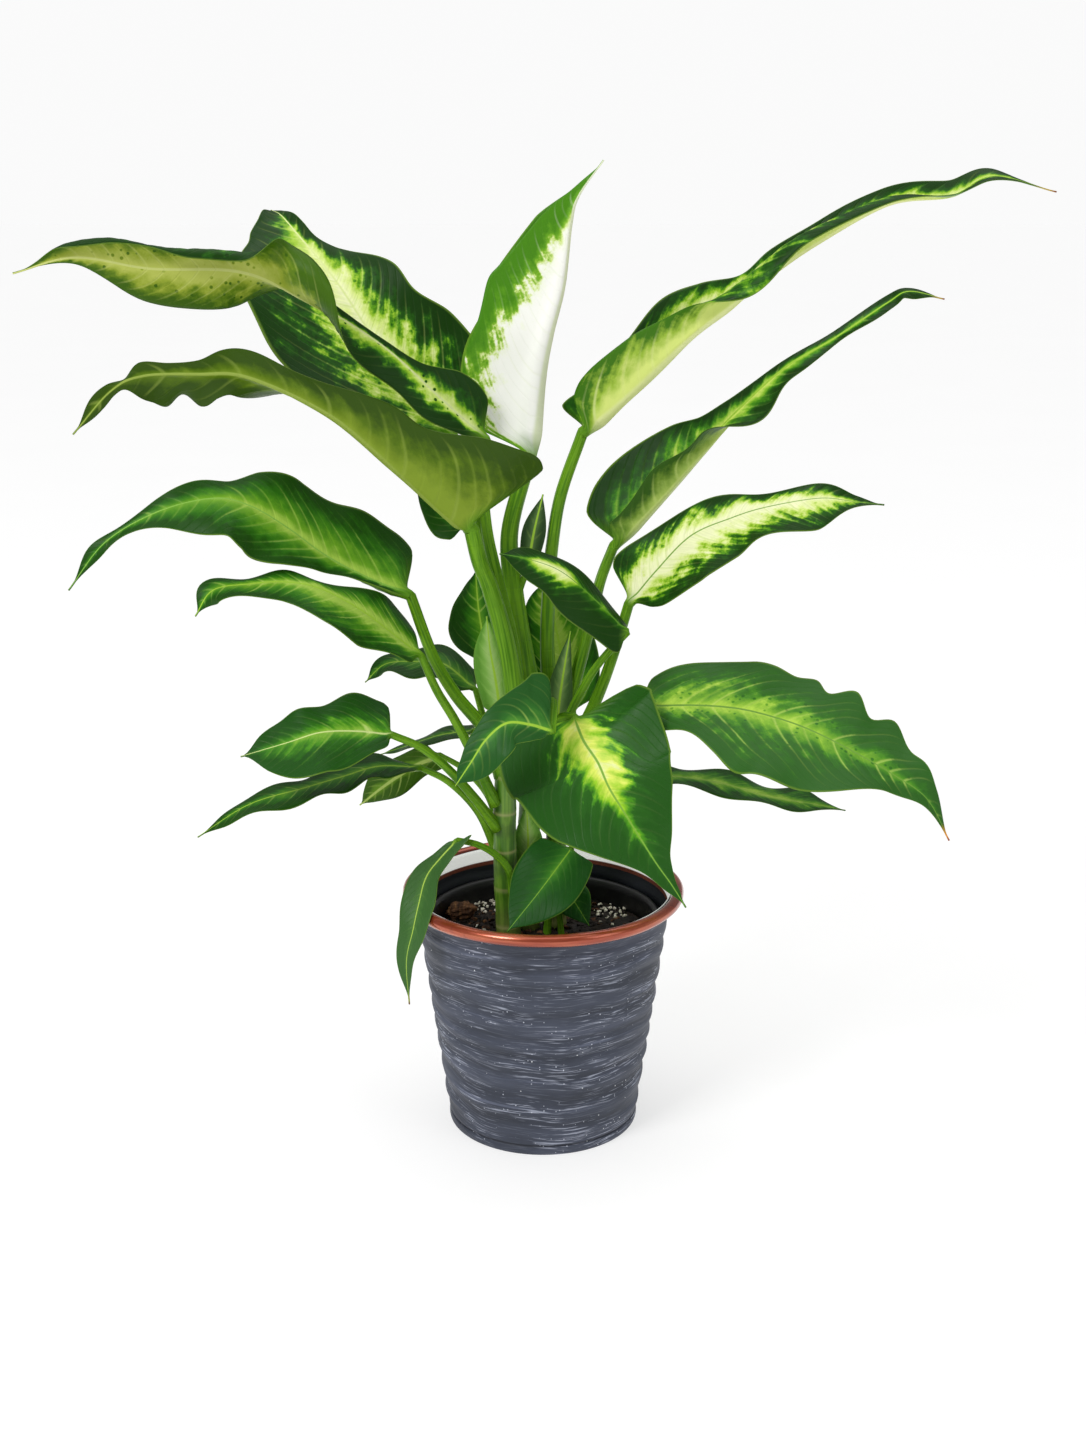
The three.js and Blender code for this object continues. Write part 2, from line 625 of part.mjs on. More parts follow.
    stalkRadius: [3, 2.2],
    rib: [[-87, -30, 255], [-107, -36, 259], [-127, -42, 261], [-146, -46, 257], [-170, -50, 248]],
    face: [[0.1, -0.5, 0.85], [0.1, -0.5, 0.85]],
    width: [[8, 24, 33, 28, 0], [14, 29, 22, 20, 0]],
    fold: [[5], [5]],
    curl: [[0], [0]],
    wave: [[2, 2, 0], [2, 3, 0.5]],
  },
  {
    name: 'leaf_left_low_long',
    stalk: [[-26, -4, 170], [-38, -8, 200], [-55, -11, 220], [-72, -10, 229]],
    stalkRadius: [2.8, 2],
    rib: [
      [-72, -10, 229], [-96, -20, 233], [-116, -30, 230], [-138, -40, 226], [-168, -52, 218],
      [-196, -60, 201],
    ],
    face: [[0, -0.15, 1], [0, -0.15, 1]],
    width: [[10, 20, 20, 16, 12, 0], [10, 20, 20, 18, 14, 0]],
    fold: [[0], [0]],
    curl: [[0], [0]],
    wave: [[2, 4, 0], [2, 4, 0.5]],
  },
  {
    name: 'leaf_left_low_curled',
    stalk: [[-26, -4, 188], [-33, 4, 207], [-47, 14, 220], [-63, 20, 228]],
    stalkRadius: [2.4, 1.6],
    rib: [[-63, 20, 228], [-78, 22, 221], [-97, 25, 207], [-113, 28, 193]],
    face: [[0.4, 0.6, 0.6], [0.4, 0.6, 0.6]],
    width: [[12, 12, 12, 0], [12, 12, 12, 0]],
    fold: [[0], [0]],
    curl: [[0], [0]],
    wave: [[1, 2, 0], [1, 2, 0.5]],
  },
  {
    name: 'leaf_left_low_olive',
    stalk: [[-12, 14, 201], [-21, 22, 221], [-42, 45, 233]],
    stalkRadius: [2.4, 1.8],
    rib: [[-42, 45, 233], [-64, 52, 229], [-84, 60, 221], [-103, 66, 214]],
    face: [[0, 0.1, 1], [0, 0.1, 1]],
    width: [[14, 14, 10, 0], [14, 14, 10, 0]],
    fold: [[0], [0]],
    curl: [[0], [0]],
    wave: [[1, 2, 0], [1, 2, 0.5]],
  },
  {
    name: 'leaf_over_rim',
    stalk: [[-18, -14, 150], [-20, -17, 166], [-28, -18, 177], [-39, -19, 184], [-51, -20, 187]],
    stalkRadius: [2.4, 1.8],
    rib: [
      [-51, -20, 187], [-61, -24, 177], [-69, -32, 168], [-73, -44, 155], [-76, -52, 142], [-78, -52, 123],
      [-78, -50, 95],
    ],
    face: [[-0.4, -0.8, 0.4], [-0.4, -0.8, 0.4]],
    width: [[5, 7, 9, 13, 12, 8, 0], [4, 8, 13, 14, 10, 6, 0]],
    fold: [[10], [10]],
    curl: [[0], [0]],
    wave: [[1.5, 2, 0], [1.5, 2, 0.5]],
  },
  {
    name: 'leaf_low_front',
    stalk: [[2, 2, 112], [4, 0, 138], [9, -6, 162], [17, -12, 179]],
    stalkRadius: [2.2, 1.8],
    rib: [[17, -12, 179], [10, -20, 172], [-3, -32, 158], [-21, -45, 139]],
    face: [[-0.2, -0.8, 0.6], [-0.2, -0.8, 0.6]],
    width: [[16, 20, 20, 0], [20, 22, 20, 0]],
    fold: [[0], [0]],
    curl: [[0], [0]],
    wave: [[1, 2, 0], [1, 2, 0.5]],
  },
  {
    name: 'leaf_low_small',
    stalk: [[12, -6, 112], [10, -3, 135], [10, 2, 152]],
    stalkRadius: [1.8, 1.4],
    rib: [[10, 2, 152], [19, -7, 143], [28, -14, 130]],
    face: [[-0.1, -0.8, 0.6], [-0.1, -0.8, 0.6]],
    width: [[8, 11, 0], [8, 11, 0]],
    fold: [[0], [0]],
    curl: [[0], [0]],
    wave: [[1, 2, 0], [1, 2, 0.5]],
  },
];

// A sheath is the pointed remnant of a leaf base: a small upright blade that hugs a cane.
const SHEATHS = [
  {
    name: 'sheath_left',
    stalk: [[-21, -7, 250], [-25, -4, 260]],
    rib: [[-25, -4, 260], [-28, -2, 281], [-31, 0, 298], [-33, 2, 318]],
    width: [[7, 9, 8, 0], [7, 9, 8, 0]],
  },
  {
    name: 'sheath_right',
    stalk: [[9, 12, 238], [8, 8, 247]],
    rib: [[8, 8, 247], [10, 5, 268], [13, 1, 290], [16, -3, 310]],
    width: [[7, 7, 5, 0], [7, 7, 5, 0]],
  },
  {
    name: 'sheath_low',
    stalk: [[-9, 3, 152], [-9, 2, 159]],
    rib: [[-9, 2, 159], [-9, 0, 180], [-10, -2, 204]],
    width: [[8, 9, 0], [8, 9, 0]],
  },
  {
    name: 'sheath_top',
    stalk: [[-10, 7, 334], [-7, 4, 345]],
    rib: [[-7, 4, 345], [-4, 2, 369], [0, 0, 390]],
    width: [[5, 7, 0], [5, 7, 0]],
  },
];

function sheathLeaf(sheath) {
  return {
    ...sheath,
    stalkRadius: [1.6, 1.6],
    face: [[0, -1, 0.2], [0, -1, 0.2]],
    fold: [[-15], [-15]],
    curl: [[0], [0]],
    wave: [[0, 1, 0], [0, 1, 0]],
  };
}

// ---------------------------------------------------------------- assembly
planterShell();
rimBead();
nurseryPot();
barkLump();

const upright = new THREE.Vector3(0, 1, 0);
const grown = [];
for (const [name, cane] of Object.entries(CANES)) {
  place(name, geometryOf(skin(stalkRings(cane.run, cane.radius, upright, CANE_STEPS, 0))), 'stem');
  grown.push(skin(stalkRings(cane.run, cane.radius, upright, CANE_STEPS, CLEARANCE)));
}
for (const leaf of [...LEAVES, ...SHEATHS.map(sheathLeaf)]) {
  place(leaf.name, geometryOf(clearOf(leafSolid(leaf), grown)), 'leaf');
  grown.push(leafSolid(leaf, CLEARANCE));
}
soil(grown);

export default model;
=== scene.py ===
# The potted dieffenbachia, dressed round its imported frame: metres, +Z up, its front towards -Y.
import math

import bpy
import numpy as np
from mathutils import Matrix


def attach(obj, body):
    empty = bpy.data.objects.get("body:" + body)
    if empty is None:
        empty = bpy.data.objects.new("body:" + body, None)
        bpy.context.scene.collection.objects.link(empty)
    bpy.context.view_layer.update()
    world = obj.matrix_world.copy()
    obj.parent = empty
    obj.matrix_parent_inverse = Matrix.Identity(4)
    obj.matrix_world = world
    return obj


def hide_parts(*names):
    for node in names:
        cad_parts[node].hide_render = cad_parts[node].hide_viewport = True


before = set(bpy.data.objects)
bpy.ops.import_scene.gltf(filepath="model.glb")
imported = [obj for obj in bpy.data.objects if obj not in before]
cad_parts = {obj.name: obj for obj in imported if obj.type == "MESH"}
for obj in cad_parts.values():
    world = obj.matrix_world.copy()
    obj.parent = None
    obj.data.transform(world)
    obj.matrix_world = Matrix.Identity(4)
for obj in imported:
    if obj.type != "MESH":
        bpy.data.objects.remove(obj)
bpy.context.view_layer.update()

# ---------------------------------------------------------------- planter
# The planter is a tapered pot of thin sheet zinc with uneven, slanting ripples rolled into its wall and a
# small hem at its foot. It is painted slate grey and dry-brushed paler, and bare inside its upper edge.
# Its colour also holds painted light: a painted highlight on the ripple crests, painted shade in the ripple
# hollows, in the groove above the hem and on the inner wall, and a painted glow on the bare strip inside its
# upper edge.
PLANTER_HEIGHT = 0.150
PLANTER_FOOT = 0.0575
PLANTER_FLARE = 0.1375
PLANTER_SHEET = 0.001
PLANTER_RECESS = 0.0012
HEM_HEIGHT = 0.0052
HEM_SWELLING = 0.0009
HEM_GROOVE = (0.0048, 0.0056), (0.0074, 0.0060)
COPPER_LINE = (0.1390, 0.1398)
BARE_STRIP = (0.1416, 0.1424)
RIPPLED_FROM = (0.0075, 0.014)
RIPPLED_UP_TO = (0.142, 0.134)
ROUND_SIDES = 288


def paint(code):
    """A colour code as linear light, with full alpha."""
    parts = [int(code[i:i + 2], 16) / 255 for i in (0, 2, 4)]
    return [p / 12.92 if p <= 0.04045 else ((p + 0.055) / 1.055) ** 2.4 for p in parts] + [1.0]


def add(kind, inputs=None, tree=None, **settings):
    """A new node, in a tree or beside the sockets that it takes in: sockets among its inputs are linked and
    plain values set. Gives its outputs."""
    inputs = inputs or {}
    sockets = {key: value for key, value in inputs.items() if isinstance(value, bpy.types.NodeSocket)}
    tree = tree or next(iter(sockets.values())).id_data
    node = tree.nodes.new(kind)
    for key, value in settings.items():
        setattr(node, key, value)
    for key, value in inputs.items():
        if key in sockets:
            tree.links.new(value, node.inputs[key])
        else:
            node.inputs[key].default_value = value
    return node.outputs


def calc(operation, *values):
    """One step of arithmetic."""
    return add("ShaderNodeMath", dict(enumerate(values)), operation=operation)[0]


def total(result, *others):
    """The sum of several values."""
    for value in others:
        result = calc("ADD", result, value)
    return result


def times(result, *others):
    """The product of several values."""
    for value in others:
        result = calc("MULTIPLY", result, value)
    return result


def vector_calc(operation, *values):
    """One step of vector arithmetic. The second value of a scaling is its factor."""
    inputs = dict(zip((0, "Scale" if operation == "SCALE" else 1), values))
    return add("ShaderNodeVectorMath", inputs, operation=operation)[0]


def split(vector):
    """The x, y and z of a vector."""
    return add("ShaderNodeSeparateXYZ", {0: vector})


def joined(x, y, z):
    """A vector from its x, y and z."""
    return add("ShaderNodeCombineXYZ", {0: x, 1: y, 2: z})[0]


def held(shader, name):
    """A value that a mesh holds at its points, as a number (Fac) and as a vector (Vector)."""
    return add("ShaderNodeAttribute", tree=shader.id_data, attribute_name=name)


def ease(value, low, high, start=0.0, end=1.0):
    """A smooth step from start, where value is low, to end, where it is high."""
    inputs = {"Value": value, "From Min": low, "From Max": high, "To Min": start, "To Max": end}
    return add("ShaderNodeMapRange", inputs, interpolation_type="SMOOTHSTEP")[0]


def cloud(vector, scale, detail=4.0, rough=0.55):
    """Soft noise from about 0.3 to 0.7. A scale of three numbers is one for each axis."""
    if isinstance(scale, tuple):
        vector, scale = vector_calc("MULTIPLY", vector, scale), 1.0
    inputs = {"Vector": vector, "Scale": scale, "Detail": detail, "Roughness": rough}
    return add("ShaderNodeTexNoise", inputs)[0]


def shades(factor, stops):
    """A colour, or a grey, from a row of (place, colour code or grey) stops."""
    colour = add("ShaderNodeValToRGB", {0: factor})[0]
    row = colour.node.color_ramp.elements
    while len(row) < len(stops):
        row.new(0.5)
    for element, (place, shade) in zip(row, stops):
        element.position = place
        element.color = paint(shade) if isinstance(shade, str) else (shade, shade, shade, 1.0)
    return colour


def mix(factor, first, second):
    """The first colour, turning to the second as the factor goes to 1."""
    colours = [paint(c) if isinstance(c, str) else c for c in (first, second)]
    inputs = {0: factor, 6: colours[0], 7: colours[1]}
    return add("ShaderNodeMix", inputs, data_type="RGBA")[2]


def specks(vector, scale, size, share):
    """1 in small round spots, one in each share of the cells of a scattered pattern."""
    cell = add("ShaderNodeTexVoronoi", {"Vector": vector, "Scale": scale})
    lot = add("ShaderNodeSeparateColor", {0: cell["Color"]})[0]
    return times(ease(cell["Distance"], size, size * 0.55), calc("LESS_THAN", lot, share))


def new_finish(name, **constants):
    """A material and its shader, with constants on the shader's own sockets."""
    material = bpy.data.materials.new(name)
    material.use_nodes = True
    shader = material.node_tree.nodes["Principled BSDF"]
    for socket, value in constants.items():
        shader.inputs[socket.replace("_", " ")].default_value = value
    return material, shader


def place_on(shader):
    """The place on a shader's piece, in the piece's own coordinates."""
    return add("ShaderNodeTexCoord", tree=shader.id_data)["Object"]


def linked(shader, **values):
    """Links values to a shader's sockets."""
    for socket, value in values.items():
        shader.id_data.links.new(value, shader.inputs[socket.replace("_", " ")])


def relief(height, strength, depth):
    """A bump from a height pattern."""
    return add("ShaderNodeBump", {"Height": height, "Strength": strength, "Distance": depth})[0]


def placed(name, data, location=(0, 0, 0), rotation=(0, 0, 0)):
    """An object in the scene."""
    holder = bpy.data.objects.new(name, data)
    holder.location, holder.rotation_euler = location, rotation
    bpy.context.scene.collection.objects.link(holder)
    return holder


def solid(name, points, faces, material, **values):
    """A smooth mesh object at the origin, with named values at its points."""
    mesh = bpy.data.meshes.new(name)
    mesh.from_pydata(np.asarray(points).tolist(), [], faces)
    mesh.shade_smooth()
    for key, value in values.items():
        kind, field = ("FLOAT", "value") if np.ndim(value) == 1 else ("FLOAT_VECTOR", "vector")
        attribute = mesh.attributes.new(key, kind, "POINT")
        attribute.data.foreach_set(field, np.asarray(value, np.float32).ravel())
    if material:
        mesh.materials.append(material)
    return placed(name, mesh)


def ringed_faces(rows, sides):
    """Quads between rows of points that each run once round."""
    faces = []
    for near in range(0, (rows - 1) * sides, sides):
        for side in range(sides):
            ahead = (side + 1) % sides
            faces.append([near + side, near + ahead, near + sides + ahead, near + sides + side])
    return faces


def turned(profile, sides):
    """Points and faces of a closed shape turned about Z, from a profile that begins and ends on the axis."""
    angle = np.arange(sides) * 2 * np.pi / sides
    rings = [np.stack([r * np.cos(angle), r * np.sin(angle), np.full(sides, z)], 1)
             for r, z in profile[1:-1]]
    points = np.concatenate(rings + [[[0, 0, profile[0][1]], [0, 0, profile[-1][1]]]])
    faces = ringed_faces(len(rings), sides)
    last, start = (len(rings) - 1) * sides, len(rings) * sides
    for side in range(sides):
        ahead = (side + 1) % sides
        faces += [[start, ahead, side], [start + 1, last + side, last + ahead]]
    return points, faces


def new_rule(name, sizes):
    """A geometry tree with named sizes. Gives the tree, its input sockets and its output node."""
    tree = bpy.data.node_groups.new(name, "GeometryNodeTree")
    tree.interface.new_socket("Geometry", in_out="INPUT", socket_type="NodeSocketGeometry")
    kinds = {int: "NodeSocketInt", float: "NodeSocketFloat", type(None): "NodeSocketMaterial"}
    for label, value in sizes.items():
        socket = tree.interface.new_socket(label, in_out="INPUT", socket_type=kinds[type(value)])
        socket.default_value = value
    tree.interface.new_socket("Geometry", in_out="OUTPUT", socket_type="NodeSocketGeometry")
    return tree, tree.nodes.new("NodeGroupInput").outputs, tree.nodes.new("NodeGroupOutput")


def close_rule(shape, material, result):
    """Ends a geometry tree: its instances made real and its material set."""
    real = add("GeometryNodeRealizeInstances", {"Geometry": shape})[0]
    coated = add("GeometryNodeSetMaterial", {"Geometry": real, "Material": material})[0]
    result.id_data.links.new(coated, result.inputs[0])


def shaped(piece, tree, **sizes):
    """Runs a geometry tree on a piece and keeps the result as its plain mesh."""
    modifier = piece.modifiers.new(tree.name, "NODES")
    modifier.node_group = tree
    for socket in tree.interface.items_tree:
        if socket.in_out == "INPUT" and socket.name in sizes:
            modifier[socket.identifier] = sizes[socket.name]
    seen = piece.evaluated_get(bpy.context.evaluated_depsgraph_get())
    mesh = bpy.data.meshes.new_from_object(seen)
    mesh.shade_smooth()
    piece.modifiers.clear()
    piece.data = mesh
    return piece


def fitted(piece, slot, *nodes):
    """Puts a finished piece on the root body and hides the nodes that it stands for; slot is not used."""
    if nodes:
        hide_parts(*nodes)
    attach(piece, "root")


# The emission is used only on the bare strip inside the upper edge, as a painted glow.
slate, shader = new_finish("slate_paint", Specular_IOR_Level=0.35, Emission_Strength=0.45)
place = place_on(shader)
tall = split(place)[2]
rolled = held(shader, "rolled")["Vector"]
crest = held(shader, "crest")["Fac"]
inside = held(shader, "inside")["Fac"]
brushed = cloud(rolled, (12, 12, 480), 7.0, 0.62)
patchy = ease(cloud(rolled, (20, 20, 60), 3.0), 0.42, 0.6)
fine = cloud(rolled, (60, 60, 1400), 3.0)
coat = shades(cloud(rolled, (14, 14, 40), 5.0), [(0.3, "2d313b"), (0.5, "3a3f4c"), (0.7, "494e5d")])
raised = ease(crest, -0.7, 0.9)
streak = times(ease(brushed, 0.53, 0.68), calc("MAXIMUM", patchy, 0.25), calc("MULTIPLY_ADD", raised, 0.7, 0.3))
hair = times(ease(fine, 0.54, 0.64), calc("MULTIPLY_ADD", patchy, 0.6, 0.08))
# Painted shade: the coat is darkened in the groove just above the hem.
groove_shade = times(*[ease(tall, *heights) for heights in HEM_GROOVE])
# Painted highlight: the ripple crests are tinted paler slate. The streaks, hairlines and specks are the paint's
# own wear.
for factor, colour in ((times(raised, 0.14), "5d6479"),
                       (times(streak, 0.38), "868da4"),
                       (hair, "b3b9ca"),
                       # Painted shade: the ripple hollows are darkened.
                       (ease(crest, -0.7, -1.0, 0.0, 0.28), "23262f"),
                       (times(groove_shade, 0.75), "23262e"),
                       (specks(place, 300, 0.14, 0.07), "eceff4"),
                       (times(specks(place, 420, 0.2, 0.3), patchy), "c9cedb"),
                       (specks(place, 70, 0.07, 0.12), "23252c")):
    coat = mix(factor, coat, colour)
bare = mix(cloud(place, (30, 30, 300)), "dddfe0", "fbfbf9")
# Inside, the wall below the copper line is near black, darker than the outer slate: painted shade inside the
# pot. The copper line is paint.
lining = mix(ease(tall, *COPPER_LINE), "23272f", "8a4634")
lining = mix(ease(tall, *BARE_STRIP), lining, bare)
# Painted glow: the bare zinc strip emits a pale light, standing in for glare on it.
glow = times(inside, ease(tall, *BARE_STRIP))
linked(shader, Base_Color=mix(inside, coat, lining), Roughness=ease(brushed, 0.35, 0.7, 0.5, 0.72),
       Normal=relief(total(brushed, times(fine, 0.3)), 0.35, 0.0005),
       Emission_Color=mix(glow, "000000", "f4f4f2"))

ripples, given, result = new_rule("rolled_ripples", {"Depth": 0.001, "Pitch": 0.014, "Slant": 0.045})
place = add("GeometryNodeInputPosition", tree=ripples)[0]
x, y, z = split(place)
bow = times(x, y, 0.9)
drift = times(total(cloud(place, 11, 2.0), -0.5), 0.016)
height = total(z, times(x, given["Slant"]), bow, drift)
turn = times(calc("DIVIDE", height, given["Pitch"]), 2 * math.pi)
turn = total(turn, calc("SINE", times(height, 95)))
crest = calc("SINE", turn)
uneven = ease(cloud(place, (16, 16, 60), 2.0), 0.3, 0.65, 0.35, 1.0)
span = times(ease(z, *RIPPLED_FROM), ease(z, *RIPPLED_UP_TO))
push = times(times(crest, given["Depth"]), times(uneven, span))
push = vector_calc("SCALE", vector_calc("NORMALIZE", joined(x, y, 0.0)), push)
shape = add("GeometryNodeStoreNamedAttribute",
            {"Geometry": given["Geometry"], "Name": "crest", "Value": times(crest, span)})[0]
shape = add("GeometryNodeStoreNamedAttribute",
            {"Geometry": shape, "Name": "rolled", "Value": joined(x, y, height)}, data_type="FLOAT_VECTOR")[0]
shape = add("GeometryNodeSetPosition", {"Geometry": shape, "Offset": push})[0]
close_rule(shape, slate, result)

wall = [(PLANTER_FOOT + PLANTER_FLARE * z, z) for z in np.linspace(0.0066, PLANTER_HEIGHT, 104)]
hem = [(PLANTER_FOOT + 0.0002 + HEM_SWELLING * math.sin(a), HEM_HEIGHT * (0.5 - 0.5 * math.cos(a)))
       for a in np.linspace(0.15, math.pi - 0.1, 12)]
lining = [(PLANTER_FOOT + PLANTER_FLARE * z - PLANTER_SHEET, z)
          for z in np.linspace(PLANTER_HEIGHT, PLANTER_SHEET, 70)]
profile = [(0, PLANTER_RECESS), (PLANTER_FOOT - 0.003, PLANTER_RECESS), (PLANTER_FOOT - 0.0022, 0.0)]
profile += hem + [(PLANTER_FOOT - 0.0002, 0.0056)] + wall + lining + [(0, PLANTER_SHEET + 0.0006)]
points, faces = turned(profile, ROUND_SIDES)
row_of = np.concatenate([np.repeat(np.arange(len(profile) - 2), ROUND_SIDES), [0, len(profile)]])
within = (row_of >= len(profile) - 2 - len(lining)).astype(float)
planter = solid("planter_shell_look", points, faces, None, inside=within)
shaped(planter, ripples, Depth=0.0009, Pitch=0.0142, Slant=0.05)
fitted(planter, "zinc", "planter_shell")

# ---------------------------------------------------------------- rim bead
# The planter's upper edge is rolled outwards into a round bead. The bead is brush-painted a satin
# copper brown, a little uneven in colour and thickness.
BEAD_MIDDLE = 0.08182
BEAD_RADIUS = 0.0037
BEAD_HEIGHT = 0.1483
BEAD_SIDES = 28

copper, shader = new_finish("copper_paint", Metallic=0.5, Specular_IOR_Level=0.6, Coat_Weight=0.5,
                            Coat_Roughness=0.08)
place = place_on(shader)
flow = cloud(place, (24, 24, 260), 5.0)
worn = cloud(place, 130, 4.0)
colour = shades(flow, [(0.3, "7e2d18"), (0.5, "a6472b"), (0.7, "c26846")])
colour = mix(times(ease(worn, 0.6, 0.72), 0.5), colour, "4e2519")
linked(shader, Base_Color=colour, Roughness=ease(flow, 0.3, 0.7, 0.16, 0.28),
       Normal=relief(total(flow, worn), 0.18, 0.0005))

angle = np.arange(ROUND_SIDES) * 2 * np.pi / ROUND_SIDES
thick = BEAD_RADIUS + 0.00012 * np.sin(5 * angle + 1) + 0.00008 * np.sin(13 * angle)
rows = []
for turn in np.arange(BEAD_SIDES) * 2 * np.pi / BEAD_SIDES:
    reach = BEAD_MIDDLE + thick * np.cos(turn)
    rows.append(np.stack([reach * np.cos(angle), reach * np.sin(angle),
                          BEAD_HEIGHT + thick * np.sin(turn)], 1))
faces = [[i % (BEAD_SIDES * ROUND_SIDES) for i in face] for face in ringed_faces(BEAD_SIDES + 1, ROUND_SIDES)]
fitted(solid("rim_bead_look", np.concatenate(rows), faces, copper), "copper", "rim_bead")

# ---------------------------------------------------------------- nursery pot
# The plant grows in a thin pot of black plastic with a turned-out lip, which stands on the planter's
# base and stays a little below its edge.
NURSERY_FLOOR = 0.0013
NURSERY_RIM = 0.1323
NURSERY_FOOT = 0.051
NURSERY_TOP = 0.069
NURSERY_WALL = 0.0012
NURSERY_LIP = 0.003
NURSERY_LIP_HEIGHT = 0.006
NURSERY_OUT_OF_ROUND = 0.0022

plastic, shader = new_finish("black_plastic", Specular_IOR_Level=0.45)
place = place_on(shader)
scuffs = cloud(place, (60, 60, 400), 5.0)
dust = cloud(place, 55, 5.0)
colour = mix(times(ease(dust, 0.5, 0.75), 0.5), "0d0e10", "2a2823")
colour = mix(times(ease(scuffs, 0.6, 0.75), 0.4), colour, "45464a")
linked(shader, Base_Color=colour, Roughness=ease(dust, 0.3, 0.7, 0.28, 0.55),
       Normal=relief(scuffs, 0.15, 0.0004))


def nursery_radius(z):
    """Outer radius of the nursery pot's wall at a height."""
    return NURSERY_FOOT + (NURSERY_TOP - NURSERY_FOOT) * (z - NURSERY_FLOOR) / (NURSERY_RIM - NURSERY_FLOOR)


lip_low = NURSERY_RIM - NURSERY_LIP_HEIGHT
profile = [(0, NURSERY_FLOOR), (NURSERY_FOOT - 0.002, NURSERY_FLOOR), (NURSERY_FOOT, NURSERY_FLOOR + 0.002)]
profile += [(nursery_radius(z), z) for z in np.linspace(0.02, lip_low, 12)]
profile += [(nursery_radius(lip_low) + NURSERY_LIP - 0.0006, lip_low + 0.0003),
            (nursery_radius(lip_low) + NURSERY_LIP, lip_low + 0.0009),
            (NURSERY_TOP + NURSERY_LIP, NURSERY_RIM - 0.0008),
            (NURSERY_TOP + NURSERY_LIP - 0.0006, NURSERY_RIM - 0.0001),
            (NURSERY_TOP + 0.0012, NURSERY_RIM + 0.0002),
            (NURSERY_TOP - 0.0005, NURSERY_RIM - 0.0003)]
profile += [(nursery_radius(z) - NURSERY_WALL, z) for z in np.linspace(NURSERY_RIM - 0.0016, 0.0045, 40)]
points, faces = turned(profile + [(0, NURSERY_FLOOR + NURSERY_WALL)], ROUND_SIDES)
bearing = np.arctan2(points[:-2, 1], points[:-2, 0])
points[:-2, :2] *= (1 + NURSERY_OUT_OF_ROUND * np.sin(3 * bearing + 0.6))[:, None]
fitted(solid("nursery_pot_look", points, faces, plastic), "plastic", "nursery_pot")

# ---------------------------------------------------------------- potting mix
# The pot is filled with dark, peaty mix. Crumbs of peat, bits of bark and white grains of perlite lie
# loose on its top, thickest where the mix has been watered out to the sides.
SOIL_TOP = 0.119
SOIL_INSET = 0.0015
SOIL_SIDES = 200

mould, shader = new_finish("peat", Specular_IOR_Level=0.25)
place = place_on(shader)
clods = cloud(place, 180, 8.0, 0.65)
damp = cloud(place, 35, 4.0)
colour = shades(clods, [(0.3, "0a0604"), (0.5, "19110b"), (0.7, "302116")])
colour = mix(ease(damp, 0.4, 0.65, 0.0, 0.5), colour, "100b08")
linked(shader, Base_Color=colour, Roughness=ease(damp, 0.35, 0.65, 0.6, 0.95),
       Normal=relief(clods, 0.9, 0.0015))

lumpy, given, result = new_rule("lumpy_ground", {"Rise": 0.004})
place = add("GeometryNodeInputPosition", tree=lumpy)[0]
on_top = calc("GREATER_THAN", split(place)[2], SOIL_TOP - 0.0005)
lumps = total(cloud(place, 45, 3.0), times(cloud(place, 260, 4.0), 0.5))
lift = times(total(lumps, -0.75), given["Rise"], on_top)
shape = add("GeometryNodeSetPosition",
            {"Geometry": given["Geometry"], "Offset": joined(0.0, 0.0, lift)})[0]
close_rule(shape, mould, result)

soil_floor = NURSERY_FLOOR + NURSERY_WALL + 0.0003
soil_edge = nursery_radius(SOIL_TOP) - SOIL_INSET
profile = [(0, soil_floor), (nursery_radius(soil_floor) - SOIL_INSET - 0.002, soil_floor)]
profile += [(nursery_radius(z) - SOIL_INSET, z) for z in np.linspace(soil_floor + 0.003, SOIL_TOP - 0.0008, 8)]
profile += [(r, SOIL_TOP) for r in np.linspace(soil_edge, 0.0012, 60)] + [(0, SOIL_TOP)]
ground = solid("soil_look", *turned(profile, SOIL_SIDES), None)
fitted(shaped(ground, lumpy, Rise=0.0065), "soil", "soil")

scatter, given, result = new_rule("loose_grains", {
    "Density": 1e5, "Small": 0.001, "Large": 0.003, "Coat": None, "Flatness": 0.7, "Sink": 0.0003, "Seed": 1})
level = split(add("GeometryNodeInputNormal", tree=scatter)[0])[2]
dots = add("GeometryNodeDistributePointsOnFaces",
           {"Mesh": given["Geometry"], "Selection": calc("GREATER_THAN", level, 0.2),
            "Density": given["Density"], "Seed": given["Seed"]})[0]
ball = add("GeometryNodeMeshIcoSphere", {"Radius": 0.5, "Subdivisions": 2}, tree=scatter)[0]
size = add("FunctionNodeRandomValue",
           {2: given["Small"], 3: given["Large"], "Seed": given["Seed"]}, data_type="FLOAT")[1]
girth = joined(size, size, times(size, given["Flatness"]))
spin = add("FunctionNodeRandomValue",
           {0: (-0.6, -0.6, -3.1), 1: (0.6, 0.6, 3.1), "Seed": given["Seed"]}, data_type="FLOAT_VECTOR")[0]
grains = add("GeometryNodeInstanceOnPoints",
             {"Points": dots, "Instance": ball, "Rotation": spin, "Scale": girth})[0]
grains = add("GeometryNodeRealizeInstances", {"Geometry": grains})[0]
place = add("GeometryNodeInputPosition", tree=scatter)[0]
knobs = add("ShaderNodeTexNoise", {"Vector": place, "Scale": 520.0, "Detail": 2.0})["Color"]
knobs = vector_calc("SUBTRACT", knobs, (0.5, 0.5, 0.5))
knobs = vector_calc("SCALE", knobs, times(given["Large"], 0.9))
knobs = vector_calc("ADD", knobs, joined(0.0, 0.0, times(given["Sink"], -1)))
grains = add("GeometryNodeSetPosition", {"Geometry": grains, "Offset": knobs})[0]
close_rule(grains, given["Coat"], result)


